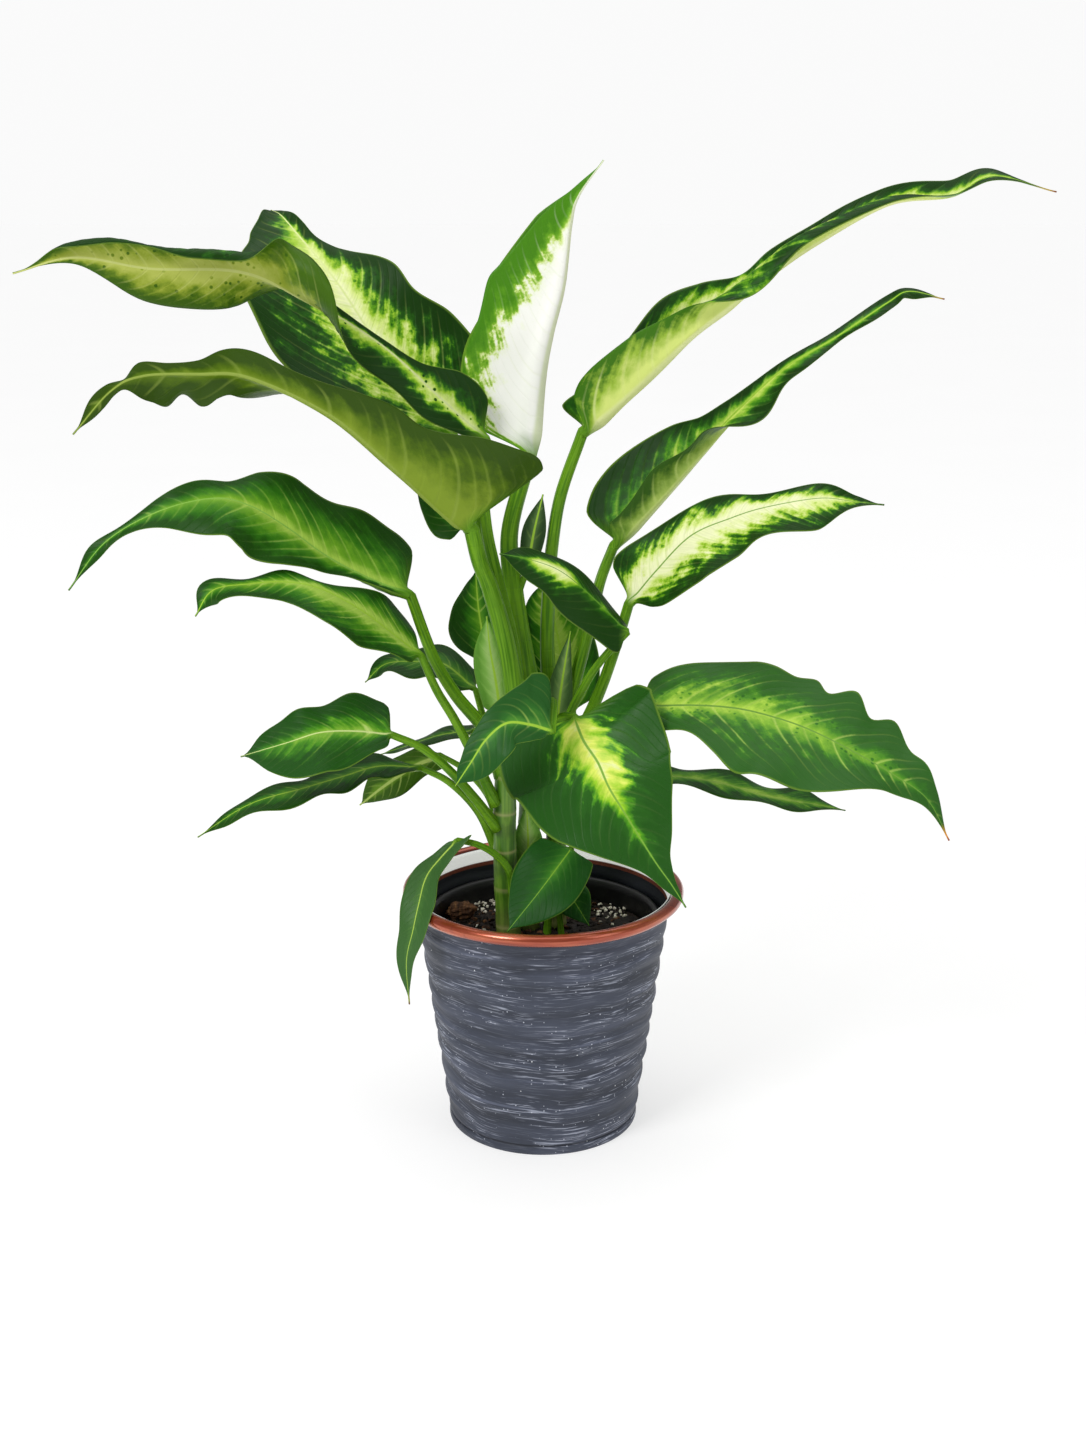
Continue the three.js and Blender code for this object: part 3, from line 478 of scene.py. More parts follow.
def disc(x, y, radius):
    """A flat round patch just on top of the mix."""
    angle = np.arange(40) * 2 * np.pi / 40
    rim = np.stack([x + radius * np.cos(angle), y + radius * np.sin(angle), np.full(40, SOIL_TOP)], 1)
    return rim, [list(range(40))]


def strewn(name, patch, material, **sizes):
    """Grains of one kind, strewn over a patch of the mix and put on the root body."""
    fitted(shaped(solid(name, *disc(*patch), None), scatter, Coat=material, **sizes), "soil")


strewn("peat_crumbs", (0, 0, 0.0635), mould, Density=1.1e5, Small=0.0012, Large=0.0034, Flatness=0.75,
       Sink=0.0004, Seed=11)

chips, shader = new_finish("bark_chips", Specular_IOR_Level=0.3, Roughness=0.85)
place = place_on(shader)
fibre = cloud(place, (500, 120, 120), 5.0)
linked(shader, Base_Color=shades(fibre, [(0.3, "2a180e"), (0.5, "4c2f1c"), (0.7, "7a5433")]),
       Normal=relief(fibre, 0.5, 0.0006))
strewn("bark_bits", (0, 0, 0.062), chips, Density=1.3e4, Small=0.002, Large=0.0052, Flatness=0.4,
       Sink=0.0001, Seed=23)

perlite, shader = new_finish("perlite", Specular_IOR_Level=0.3, Roughness=0.8)
place = place_on(shader)
pores = cloud(place, 900, 5.0)
linked(shader, Base_Color=shades(pores, [(0.35, "a89a86"), (0.5, "e6dfd0"), (0.65, "f7f3ea")]),
       Normal=relief(pores, 0.6, 0.0005))
for name, patch, density, seed in (("perlite_grains", (0, 0, 0.062), 6e3, 5),
                                   ("perlite_patch_left", (-0.034, 0.046, 0.011), 7e4, 6),
                                   ("perlite_patch_right", (0.043, 0.037, 0.013), 6e4, 7)):
    strewn(name, patch, perlite, Density=density, Small=0.0009, Large=0.0028, Flatness=0.8, Sink=-0.0005,
           Seed=seed)

# ---------------------------------------------------------------- bark lump
# One larger, flattish lump of brown bark lies on the mix, near the pot's wall. It is a broken piece, pitted
# and split along its grain.
BARK_PLACE = (-0.051, 0.028, SOIL_TOP + 0.0045)
BARK_TURN = 0.4

bark, given, result = new_rule("broken_bark", {"Half length": 0.009, "Half width": 0.007, "Half height": 0.005,
                                               "Break": 0.3})
ball = add("GeometryNodeMeshIcoSphere", {"Radius": 1.0, "Subdivisions": 5}, tree=bark)[0]
place = add("GeometryNodeInputPosition", tree=bark)[0]
dents = cloud(vector_calc("MULTIPLY", place, (0.9, 1.6, 1.6)), 1.3, 5.0)
dents = times(total(dents, -0.5), given["Break"])
shape = vector_calc("SCALE", place, calc("MULTIPLY_ADD", dents, 4.0, 1.0))
half = joined(given["Half length"], given["Half width"], given["Half height"])
shape = vector_calc("MULTIPLY", shape, half)
shape = add("ShaderNodeVectorRotate", {"Vector": shape, "Angle": BARK_TURN}, rotation_type="Z_AXIS")[0]
shape = vector_calc("ADD", shape, BARK_PLACE)
shape = add("GeometryNodeSetPosition", {"Geometry": ball, "Position": shape})[0]
close_rule(shape, chips, result)
fitted(shaped(solid("bark_lump_look", *disc(0, 0, 0.01), None), bark), "bark", "bark_lump")

# ---------------------------------------------------------------- canes
# Three fleshy green canes rise out of the mix. Each is ringed with the scars of old leaves, a little
# swollen at every ring, and paler and browner towards its foot.
MM = 0.001
CANE_SIDES = 40
CANE_ROW_SPACING = 1.2
RING_SPACING = 21
RUN_STEPS = 400
SCAR_DIP = 0.035
SCAR_HALF_WIDTH = 0.035
SWELLING = 0.05
SWELLING_HALF_WIDTH = 0.16
CANES = {
    "cane_left": ([(-20, -5, 104), (-22, -5, 143), (-23, -8, 183), (-22, -10, 221), (-18, -10, 246),
                   (-15, -8, 273)], (7.5, 6)),
    "cane_middle": ([(-9, 12, 107), (-9, 12, 163), (-8, 12, 202), (-7, 12, 240), (-6, 12, 268)], (7, 6)),
    "cane_right": ([(8, 17, 108), (8, 17, 181), (9, 17, 219), (11, 17, 248)], (6.5, 5)),
}


def along(rows, t):
    """Smooth values at each t of a row of values or points that are spread evenly along a piece."""
    rows = np.asarray(rows, float)
    if len(rows) == 1:
        return np.repeat(rows, len(t), 0)
    rows = np.concatenate([[2 * rows[0] - rows[1]], rows, [2 * rows[-1] - rows[-2]]])
    reach = np.clip(t, 0, 1) * (len(rows) - 3)
    step = np.minimum(reach.astype(int), len(rows) - 4)
    f = (reach - step).reshape((-1,) + (1,) * (rows.ndim - 1))
    a, b, c, d = rows[step], rows[step + 1], rows[step + 2], rows[step + 3]
    return 0.5 * (2 * b + (c - a) * f + (2 * a - 5 * b + 4 * c - d) * f ** 2 + (3 * b - a - 3 * c + d) * f ** 3)


def unit(vectors):
    """Vectors of length one."""
    return vectors / np.linalg.norm(vectors, axis=-1, keepdims=True)


def square_to(vectors, axis):
    """Vectors turned square to an axis."""
    return unit(vectors - (vectors * axis).sum(-1, keepdims=True) * axis)


def heading(points, t):
    """The direction of a row of points at each t."""
    return unit(along(points, np.minimum(t + 1e-3, 1)) - along(points, np.maximum(t - 1e-3, 0)))


def run_of(points):
    """A row of points' length, and the distance along it at even steps."""
    path = along(points, np.linspace(0, 1, RUN_STEPS))
    steps = np.concatenate([[0], np.cumsum(np.linalg.norm(np.diff(path, axis=0), axis=1))])
    return steps[-1], steps


def spokes(turns, side, up):
    """Directions round a stem, from its side at 0 to its top at a quarter turn."""
    return np.cos(turns)[:, None] * side[:, None] + np.sin(turns)[:, None] * up[:, None]


def stem_rings(points, t, radius, top_up, turns, channel=0.0):
    """Rings down a stem: their points, each as far round as turns says, with a channel along the upper side."""
    centre, run = along(points, t), heading(points, t)
    up = np.empty_like(centre)
    up[-1] = square_to(np.asarray(top_up, float), run[-1])
    for row in range(len(t) - 2, -1, -1):
        up[row] = square_to(up[row + 1], run[row])
    dip = 1 - channel * np.exp(-((turns - math.pi / 2) / 0.6) ** 2)
    return centre[:, None] + (radius[:, None] * dip)[..., None] * spokes(turns, np.cross(run, up), up)


def capped_faces(rows, sides):
    """The faces of a closed tube of rings, with a flat face at each end."""
    last = (rows - 1) * sides
    return ringed_faces(rows, sides) + [list(range(sides))[::-1], [last + side for side in range(sides)]]


cane_skin, shader = new_finish("cane_skin", Specular_IOR_Level=0.45)
place = place_on(shader)
lines = cloud(place, (420, 420, 16), 4.0)
blotch = cloud(place, 70, 5.0)
colour = shades(lines, [(0.3, "33600e"), (0.5, "4c7c18"), (0.7, "749c30")])
colour = mix(times(ease(blotch, 0.5, 0.7), 0.5), colour, "3c5a1a")
colour = mix(ease(split(place)[2], 0.150, 0.118, 0.0, 0.6), colour, "6d6438")
colour = mix(times(held(shader, "scar")["Fac"], 0.75), colour, "a8a86c")
linked(shader, Base_Color=colour, Roughness=ease(blotch, 0.3, 0.7, 0.36, 0.52),
       Normal=relief(total(lines, blotch), 0.25, 0.0005))

turns = np.pi - np.arange(CANE_SIDES) * 2 * np.pi / CANE_SIDES
for number, (name, (points, radii)) in enumerate(CANES.items()):
    length, _ = run_of(points)
    t = np.linspace(0, 1, int(length / CANE_ROW_SPACING))
    joint = (t * length + 9 * number) / (RING_SPACING + 3 * number)
    near = np.abs(joint - np.round(joint))
    scar = np.exp(-(near / SCAR_HALF_WIDTH) ** 2)
    swollen = 1 + SWELLING * np.exp(-(near / SWELLING_HALF_WIDTH) ** 2) - SCAR_DIP * scar
    rings = stem_rings(points, t, np.interp(t, [0, 1], radii) * swollen, (0, 1, 0), turns)
    fitted(solid(name + "_look", rings.reshape(-1, 3) * MM, capped_faces(len(t), CANE_SIDES), cane_skin,
                 scar=np.repeat(scar, CANE_SIDES)), "stem", name)

# ---------------------------------------------------------------- leaves
# Each leaf is grown in one piece: a fleshy, channelled stalk that clasps the cane, and a thin, glossy
# blade with a sunken midrib, veins that sweep out to its edge, and a pale, feathered middle.
BLADE_HALF_THICKNESS = 0.40
EDGE_HALF_THICKNESS = 0.14
ROW_SPACING = 1.5
ROW_CROWDING = 1.15
ROW_LIMITS = (36, 240)
CELL_WIDTH = 2.3
CELL_LIMITS = (6, 22)
TIP_SHARE = 0.12
LOBE_SHARE = 0.3
WAVY_FROM = 15
QUILTED_FROM = 25
VEIN_SLANT = 0.55
VEIN_SWEEP = 0.8
KEEL_DEPTH = 0.5
TROUGH_DEPTH = 0.55
TROUGH_HALF_WIDTH = 1.1
STALK_SPACING = 3.0
STALK_BLEND = 0.06
STALK_CHANNEL = 0.28
CLASP_LENGTH = 14


def leaf_skin(name, seed, top, reach, feather=0.4, mottle=0.3, spots=0.0, vein=0.35, midrib=("9fc83e", 1.3),
              under=((0.1, "3d6410"), (0.5, "6d9a24"), (0.95, "a8c452")), under_vein="b4cc68", edge="7da035",
              tip=None):
    """A leaf's own skin: top is its row of colours from the edge's to the middle's, and reach how far out
    from the midrib the middle's colour goes at each t. That colour is frayed along the veins by feather,
    broken up by mottle and dotted by spots. vein is the strength of the veins, midrib its colour and
    half-width, edge the colour of a painted highlight along the margin, and tip the two colours of a withered
    tip."""
    material, shader = new_finish(name, Specular_IOR_Level=0.14)
    row, out, share = split(held(shader, "vein_place")["Vector"])
    t, upper, run = split(held(shader, "leaf_zone")["Vector"])
    slow_out = times(out, 0.06)
    flecks = joined(times(run, 0.09), times(out, 0.09), seed + 3.1)
    calm = ease(share, 0.0, 0.5, 0.3, 1.0)
    plume = times(total(cloud(joined(row, slow_out, seed), 0.8), -0.5), calm)
    blot = total(cloud(flecks, 1.0, 6.0, 0.66), -0.5)
    pair = calc("PINGPONG", row, 0.5)
    flame = times(ease(pair, 0.3, 0.0, 0.0, 0.10), calm)
    within = times(calc("SUBTRACT", shades(t, reach), share), 1.35)
    depth = total(within, times(plume, feather * 3.0), times(blot, mottle * 3.4, calm), flame, 0.38)
    if spots:
        depth = calc("SUBTRACT", depth, times(specks(flecks, 3.0, 0.33, 0.45), spots))
    strong = cloud(joined(times(row, 0.7), 0.0, seed), 1.0, 1.0)
    line = times(ease(pair, 0.16, 0.03), ease(strong, 0.42, 0.6), ease(share, 0.97, 0.5))
    shown = times(line, ease(depth, 0.2, 0.5, 0.25, 1.0), vein)
    threads = cloud(joined(times(row, 7.0), slow_out, seed), 1.0, 3.0)
    close = calc("DIVIDE", calc("ABSOLUTE", out), calc("MULTIPLY_ADD", t, -0.75, 1.0))
    line_colour, line_width = midrib
    tint = mix(shown, shades(depth, top), "c8e070")
    tint = mix(ease(threads, 0.35, 0.65, 0.10, 0.0), tint, top[0][1])
    tint = mix(ease(close, line_width, line_width * 0.45), tint, line_colour)
    # Painted highlight: a thin pale line along the margin.
    tint = mix(ease(share, 0.96, 0.995, 0.0, 0.6), tint, edge)
    back = mix(times(line, min(vein * 1.6, 0.7)), shades(depth, under), under_vein)
    back = mix(ease(close, line_width * 1.9, line_width), back, under_vein)
    tint = mix(upper, back, tint)
    if tip:
        tint = mix(ease(t, 0.95, 0.985), tint, tip[0])
        tint = mix(ease(t, 0.985, 0.998), tint, tip[1])
    flesh = cloud(joined(times(out, 0.9), times(run, 0.03), seed), 1.0)
    tint = mix(held(shader, "stem")["Fac"], tint, shades(flesh, [(0.36, "44760f"), (0.62, "6fa01f")]))
    rise = total(times(ease(pair, 0.10, 0.0), -0.7), times(threads, 0.5), times(blot, 0.4))
    linked(shader, Base_Color=tint, Roughness=ease(blot, -0.2, 0.2, 0.35, 0.49),
           Normal=relief(rise, 0.35, 0.0005))
    return material


def leaf(name, seed, stalk, stalk_radius, rib, face, width, fold=(0, 0), curl=(0, 0), roll=(0, 0), wave=(1, 2),
         shift=(0, 0.5), lobe=0, rounding=0.1, vein_gap=7, quilt=0.5, clasp=0.3, neck=None, **skin):
    """One leaf, in millimetres: its stalk from the cane up, its midrib from the stalk's end (or the neck, if
    that is given) to the tip, the way its upper face looks along the midrib, and for its left and right
    halves the half-width, the fold away from flat, the even curl and the roll of the margin in degrees, the
    height and number of the edge's waves, their shift, and how far the base's lobe hangs back."""
    rib = [neck or stalk[-1]] + rib
    length, steps = run_of(rib)
    rows = int(np.clip(length / ROW_SPACING, *ROW_LIMITS))
    t = (np.arange(1, rows + 1) / rows) ** ROW_CROWDING
    run_at = np.interp(t, np.linspace(0, 1, RUN_STEPS), steps)
    centre, run = along(rib, t), heading(rib, t)
    up = square_to(along(face, t), run)
    side = np.cross(run, up)
    tip = np.sin(np.pi / 2 * np.clip((1 - t) / TIP_SHARE, 0, 1)) ** 0.9
    base = np.sin(np.pi / 2 * np.clip(t / rounding, 0, 1)) ** 0.6
    halves = [np.maximum(along(w, t) * base * tip, 0.5) for w in width]
    cells = int(np.clip(max(h.max() for h in halves) / CELL_WIDTH, *CELL_LIMITS))
    across = 2 * cells + 1
    middle = np.empty((rows, across, 3))
    out = np.zeros((rows, across))
    share = np.abs(np.linspace(-1, 1, across))[None].repeat(rows, 0)
    middle[:, cells] = centre
    for hand, half, *bends, (height, count), start, trail in zip(
            (-1, 1), halves, fold, curl, roll, np.broadcast_to(wave, (2, 2)), shift, np.broadcast_to(lobe, 2)):
        lift, bend, furl = [np.radians(along(np.atleast_1d(row), t)) for row in bends]
        walk = np.zeros((rows, 3))
        for cell in range(1, cells + 1):
            q = cell / cells
            between = q - 0.5 / cells
            tilt = (lift + bend * between + furl * between ** 2)[:, None]
            walk = walk + (half / cells)[:, None] * (hand * np.cos(tilt) * side + np.sin(tilt) * up)
            heave = height * q * q * np.minimum(half / WAVY_FROM, 1) * np.sin(2 * np.pi * (count * t + start))
            sweep = trail * q ** 1.5 * np.clip(1 - t / LOBE_SHARE, 0, 1) ** 2 * base
            middle[:, cells + hand * cell] = centre + walk + heave[:, None] * up - sweep[:, None] * run
            out[:, cells + hand * cell] = hand * half * q
    veins = (run_at[:, None] - np.abs(out) * (VEIN_SLANT + VEIN_SWEEP * share)) / vein_gap
    normal = unit(np.cross(np.gradient(middle, axis=1), np.gradient(middle, axis=0)))
    broad = np.clip(np.maximum(*halves) / QUILTED_FROM, 0.1, 1)[:, None]
    bulge = quilt * broad * (np.abs(np.sin(np.pi * veins)) ** 0.8 - 0.6) * np.sin(np.pi * share) ** 0.7
    middle += normal * bulge[..., None]
    thick = EDGE_HALF_THICKNESS + (BLADE_HALF_THICKNESS - EDGE_HALF_THICKNESS) * (1 - share ** 3)
    left = (1 - t)[:, None]
    neck_radius = stalk_radius[1]
    keel = 1.35 * neck_radius * left ** 1.6 + KEEL_DEPTH * left
    keel = keel * np.exp(-(out / (0.8 + neck_radius * left)) ** 2)
    trough = TROUGH_DEPTH * left ** 0.4 * np.exp(-(out / TROUGH_HALF_WIDTH) ** 2)
    over = middle + normal * (thick - trough)[..., None]
    below = middle - normal * (thick + keel)[..., None]
    turns = np.linspace(math.pi - 0.05, 0.05, across)
    turns = np.concatenate([turns, -turns[::-1]])
    blade = np.concatenate([over, below[:, ::-1]], 1)
    tube = centre[:, None] + neck_radius * spokes(turns, side, up)
    fade = np.clip(t / STALK_BLEND, 0, 1)
    fade = fade * fade * (3 - 2 * fade)
    blade = tube + fade[:, None, None] * (blade - tube)
    stalk_length, _ = run_of(stalk)
    s = np.linspace(0, 1, max(int(stalk_length / STALK_SPACING), 4))
    girth = np.interp(s, [0, 1], stalk_radius) * (1 + clasp * np.exp(-s * stalk_length / CLASP_LENGTH))
    first_up = square_to(along(face, np.zeros(1))[0], heading(rib, np.zeros(1))[0])
    rings = stem_rings(stalk, s, girth, first_up, turns, STALK_CHANNEL)
    points = np.concatenate([rings, blade])
    sides = 2 * across

    def both(on_blade, on_stalk):
        """A value at every point: as it is on the stalk, and over the blade's two faces."""
        on_blade = np.broadcast_to(on_blade, (rows, across))
        on_stalk = np.broadcast_to(on_stalk, (len(s), sides))
        return np.concatenate([on_stalk, np.concatenate([on_blade, on_blade[:, ::-1]], 1)]).ravel()

    stalk_run = (s * stalk_length - stalk_length)[:, None]
    around = girth[:, None] * np.abs(turns)
    upper = np.tile(np.repeat([1.0, 0.0], across), len(points))
    vein_place = np.stack([both(veins, stalk_run / vein_gap), both(out, around), both(share, 0)], -1)
    leaf_zone = np.stack([both(t[:, None], 0), upper, both(run_at[:, None], stalk_run)], -1)
    material = leaf_skin(name.removeprefix("leaf_") + "_skin", seed, **skin)
    piece = solid(name + "_look", points.reshape(-1, 3) * MM, capped_faces(len(points), sides), material,
                  vein_place=vein_place, leaf_zone=leaf_zone, stem=both((1 - fade)[:, None], 1))
    fitted(piece, "leaf", name)

# ---------------------------------------------------------------- sheaths
# Pointed sheaths, the dried-back feet of older leaves, still hug the canes. They are pale, thin and
# papery green, and hollow on the side of the stem.
SHEATH_GREENS = [(0.1, "5f9433"), (0.5, "7fb04c"), (0.9, "a4c872")]


def sheath(name, seed, stalk, rib, width, top=SHEATH_GREENS):
    """One sheath: like a leaf, but hollow, smooth and almost even in colour."""
    leaf(name, seed, stalk=stalk, stalk_radius=(1.6, 1.6), rib=rib, face=[(0, -1, 0.2)], width=width,
         fold=(-15, -15), wave=(0, 1), vein_gap=9, quilt=0.1, top=top, reach=[(0, 0.5), (1, 0.5)], feather=0.3,
         mottle=0.1, vein=0.1)


sheath("sheath_left", seed=1,
       stalk=[(-21, -7, 250), (-25, -4, 260)],
       rib=[(-28, -2, 281), (-31, 0, 298), (-33, 2, 318)],
       width=([9, 12, 10, 0], [8, 11, 9, 0]))

sheath("sheath_right", seed=2,
       stalk=[(9, 12, 238), (8, 8, 247)],
       rib=[(10, 5, 268), (13, 1, 290), (16, -3, 310)],
       width=([10, 9, 5, 0], [9, 8, 4, 0]), top=[(0.1, "416030"), (0.5, "5b7c42"), (0.9, "7f9c5a")])

sheath("sheath_low", seed=3,
       stalk=[(-9, 3, 152), (-9, 2, 159)],
       rib=[(-9, 0, 180), (-10, -2, 204)],
       width=([8, 9, 0], [8, 9, 0]))

sheath("sheath_top", seed=4,
       stalk=[(-14, 7, 332), (-9, 4, 346)],
       rib=[(-5, 2, 369), (0, 0, 390)],
       width=([5, 7, 0], [5, 7, 0]), top=[(0.1, "2e4826"), (0.5, "3e5c2e"), (0.9, "5a7842")])

# ---------------------------------------------------------------- lowest leaves
# The lowest and oldest leaves are small and plain green, with only a lime streak along the midrib. One
# hangs out over the rim on the left; the other two droop over the mix.
PLAIN_GREENS = [(0.0, "20561a"), (0.4, "2c6a1e"), (0.65, "468a2a"), (0.84, "7eb83a"), (1.0, "c6e25c")]

leaf("leaf_over_rim", seed=5,
     stalk=[(-18, -14, 150), (-20, -17, 166), (-28, -18, 177), (-39, -19, 184), (-51, -20, 187)],
     stalk_radius=(2.4, 1.8),
     rib=[(-61, -24, 177), (-69, -32, 168), (-73, -44, 155), (-76, -52, 142), (-80, -52, 123), (-79, -50, 95)],
     face=[(-0.4, -0.8, 0.4)], width=([5, 7, 9, 12, 10, 5, 0], [3, 5, 9, 11, 9, 6, 0]),
     fold=(10, 10), wave=(1.5, 2), lobe=(24, 2), vein_gap=5, quilt=0.2,
     top=[(0, "3d6630"), (0.45, "4a7636"), (0.7, "64903e"), (0.84, "a2c64c"), (1, "d2ea58")],
     reach=[(0, 0), (0.5, 0.15), (0.85, 0), (1, -0.1)], mottle=0.2, vein=0.06, midrib=("b5d458", 0.7),
     tip=("9aa04a", "7a4a24"))

leaf("leaf_low_front", seed=6,
     stalk=[(2, 2, 112), (4, 0, 138), (9, -6, 162), (17, -12, 179)], stalk_radius=(2.2, 1.8),
     rib=[(10, -20, 172), (-3, -32, 158), (-21, -45, 139)],
     face=[(-0.2, -0.8, 0.6)], width=([16, 20, 20, 0], [20, 22, 20, 0]),
     vein_gap=6, quilt=0.3,
     top=PLAIN_GREENS, reach=[(0, 0.2), (0.45, 0.3), (0.7, 0.05), (1, 0)], feather=0.25, mottle=0.2, vein=0.04,
     midrib=("8fc23e", 0.6))

leaf("leaf_low_small", seed=7,
     stalk=[(12, -6, 112), (10, -3, 135), (10, 2, 152)], stalk_radius=(1.8, 1.4),
     rib=[(19, -7, 143), (28, -14, 130)],
     face=[(-0.1, -0.8, 0.6)], width=([8, 11, 0], [8, 11, 0]),
     vein_gap=5, quilt=0.2,
     top=PLAIN_GREENS, reach=[(0, 0.05), (0.5, 0.1), (1, 0)], feather=0.2, mottle=0.1, vein=0.1,
     midrib=("7fae3e", 0.7))

# ---------------------------------------------------------------- leaves on the left
# On the left the long leaves arch out and over in tiers, the upper ones showing their paler undersides
# or rolled half over, and the lower ones smaller and shaded.
CREAM_HEART = [(0.0, "173c08"), (0.28, "22590c"), (0.42, "589612"), (0.56, "a3cc36"), (0.74, "dcec8c"),
               (1.0, "f4f8c6")]
LIME_HEART = [(0.0, "1c4a08"), (0.3, "2b6a0e"), (0.55, "458416"), (0.8, "6ea524"), (1.0, "a8cc50")]
OLIVE_BACK = [(0.1, "324e06"), (0.5, "526f0d"), (0.95, "80982a")]

leaf("leaf_left_arching", seed=8,
     stalk=[(-15, -14, 269), (-22, -20, 309), (-30, -24, 340), (-36, -27, 357), (-40, -30, 375)],
     stalk_radius=(5.5, 4.4),
     rib=[(-57, -38, 391), (-82, -50, 416), (-114, -60, 444), (-154, -70, 464), (-180, -75, 466),
          (-209, -78, 465), (-226, -80, 457), (-246, -85, 435)], neck=(-41, -30, 376),
     face=[(0.3, 0.85, 0.4)],
     width=([48, 64, 68, 56, 30, 24, 17, 14, 14, 11, 7, 6, 7, 1, 4, 5, 0],
            [20, 21, 22, 24, 27, 29, 30, 31, 33, 33, 31, 25, 19, 14, 16, 24, 17, 25, 18, 11, 4, 3, 4, 4, 0]),
     fold=([0, 0, 10, 10, 10, 10, 10, 0, 0], [85, 85, 85, 70, 10, 10, 10, 0, 0]), wave=(3, 4), lobe=(6, 8),
     rounding=0.06, vein_gap=13,
     top=LIME_HEART, reach=[(0, 0.6), (0.4, 0.4), (1, 0.1)], feather=0.35, mottle=0.35, vein=0.22,
     # edge is the colour of the painted highlight along the margin.
     midrib=("8ea444", 0.8), under=OLIVE_BACK, under_vein="93a848", edge="8fa050")

leaf("leaf_left_twisted", seed=9,
     stalk=[(-14, -4, 269), (-18, -8, 306), (-26, -10, 342), (-32, -10, 371), (-34, -6, 399), (-32, 0, 421)],
     stalk_radius=(4, 2.8),
     rib=[(-58, -8, 446), (-90, -15, 476), (-132, -25, 503), (-163, -35, 516), (-209, -45, 518),
          (-246, -55, 524), (-278, -60, 516)],
     face=[(0.3, -0.75, 0.6), (0.3, -0.75, 0.6), (0.3, -0.75, 0.6), (0.3, -0.7, 0.7), (0.3, -0.6, 0.8),
           (0.1, 0.1, 1), (0, 0.75, 0.5), (0, 0.95, 0.2), (0, 0.95, 0.2), (0, 0.95, 0.2), (0, 0.95, 0.2),
           (0, 0.95, 0.2), (0, 0.9, 0.3)],
     width=([8, 12, 18, 16, 19, 24, 28, 25, 21, 21, 19, 21, 14, 4, 0],
            [18, 21, 20, 7, 3, 4, 10, 15, 21, 23, 20, 11, 4, 1, 0]),
     fold=([0, 0, 0, -3, -5, -5, -5, 0, 5, 5, 5, 10, 20, 10, 0], [20, 20, 30, 30, 0, 5, 10, 0]), curl=(0, 10),
     roll=([0, 0, 0, 0, 0, 60, 140, 90, -170, -190, -120, -150, -190, -60, 0], [0, 0]), wave=(2, 3),
     shift=(0, 0.3), vein_gap=9,
     top=CREAM_HEART, reach=[(0, 0.4), (0.25, 0.25), (0.45, 0.3), (0.6, 0.6), (0.85, 0.45), (1, 0.2)],
     feather=0.3, mottle=0.5, spots=0.5, vein=0.15, midrib=("d4e09c", 0.9),
     under=[(0, "3f640c"), (0.3, "66841a"), (0.6, "9aab36"), (0.95, "bcc65c")], under_vein="ccd47c")

leaf("leaf_back_left", seed=10,
     stalk=[(-15, 12, 246), (-22, 17, 301), (-30, 21, 336), (-37, 25, 371), (-51, 30, 417)],
     stalk_radius=(4.4, 3.2),
     rib=[(-94, 45, 468), (-122, 60, 507), (-145, 78, 532), (-157, 95, 543), (-165, 110, 546)],
     face=[(0.3, -0.8, 0.5), (0.3, -0.8, 0.5), (0, -0.6, 0.8), (-0.2, 0.1, 1)],
     width=([32, 44, 56, 62, 61, 58, 50, 31, 23, 13, 6, 0], [42, 49, 47, 35, 33, 19, 9, 7, 6, 5, 4, 0]),
     fold=(10, 15), wave=(4, 2.5), vein_gap=9,
     top=CREAM_HEART, reach=[(0, 0.42), (0.35, 0.45), (0.62, 0.22), (0.85, -0.05)], feather=0.5, mottle=0.5,
     spots=0.12, vein=0.6, midrib=("dbe79c", 1.2))

leaf("leaf_left_inner", seed=11,
     stalk=[(-16, -2, 254), (-21, 3, 296), (-30, 5, 334), (-37, 5, 360), (-42, 3, 375)],
     stalk_radius=(2.4, 1.8),
     rib=[(-57, 8, 383), (-74, 14, 396)],
     face=[(0.3, -0.8, 0.3)], width=([16, 19, 12, 0], [11, 13, 8, 0]),
     top=LIME_HEART, reach=[(0, 0.3), (1, 0.3)])

leaf("leaf_left_broad", seed=12,
     stalk=[(-24, -10, 224), (-33, -12, 251), (-51, -14, 275), (-64, -15, 299), (-76, -15, 334)],
     stalk_radius=(4.2, 3.2),
     rib=[(-104, -22, 348), (-124, -28, 361), (-143, -34, 377), (-162, -40, 390), (-181, -45, 395),
          (-210, -52, 389), (-239, -58, 373), (-260, -62, 347)],
     face=[(0.2, -0.55, 0.8)],
     width=([5, 4, 6, 14, 26, 32, 34, 31, 24, 13, 5, 4, 0], [40, 42, 42, 39, 36, 32, 25, 15, 12, 8, 3, 5, 0]),
     fold=(5, 5), curl=(-10, 0), wave=(3, 4), lobe=(4, 20), vein_gap=9,
     top=LIME_HEART, reach=[(0, 0.5), (0.4, 0.5), (0.8, 0.25), (1, 0)], feather=0.2, vein=0.25,
     midrib=("86b84a", 1.1))

leaf("leaf_left_wavy", seed=13,
     stalk=[(-28, -15, 208), (-40, -22, 239), (-51, -26, 263), (-61, -30, 282), (-69, -32, 302)],
     stalk_radius=(3.2, 2.4),
     rib=[(-87, -39, 319), (-103, -45, 333), (-123, -53, 346), (-141, -59, 351), (-160, -64, 351),
          (-180, -67, 348), (-190, -69, 334)],
     face=[(0.2, -0.4, 0.9)], width=([18, 21, 29, 33, 15, 14, 10, 0], [20, 28, 17, 9, 9, 6, 9, 0]),
     wave=(3, 3), lobe=(2, 9),
     top=LIME_HEART, reach=[(0, 0.6), (0.5, 0.6), (1, 0.2)], feather=0.35)

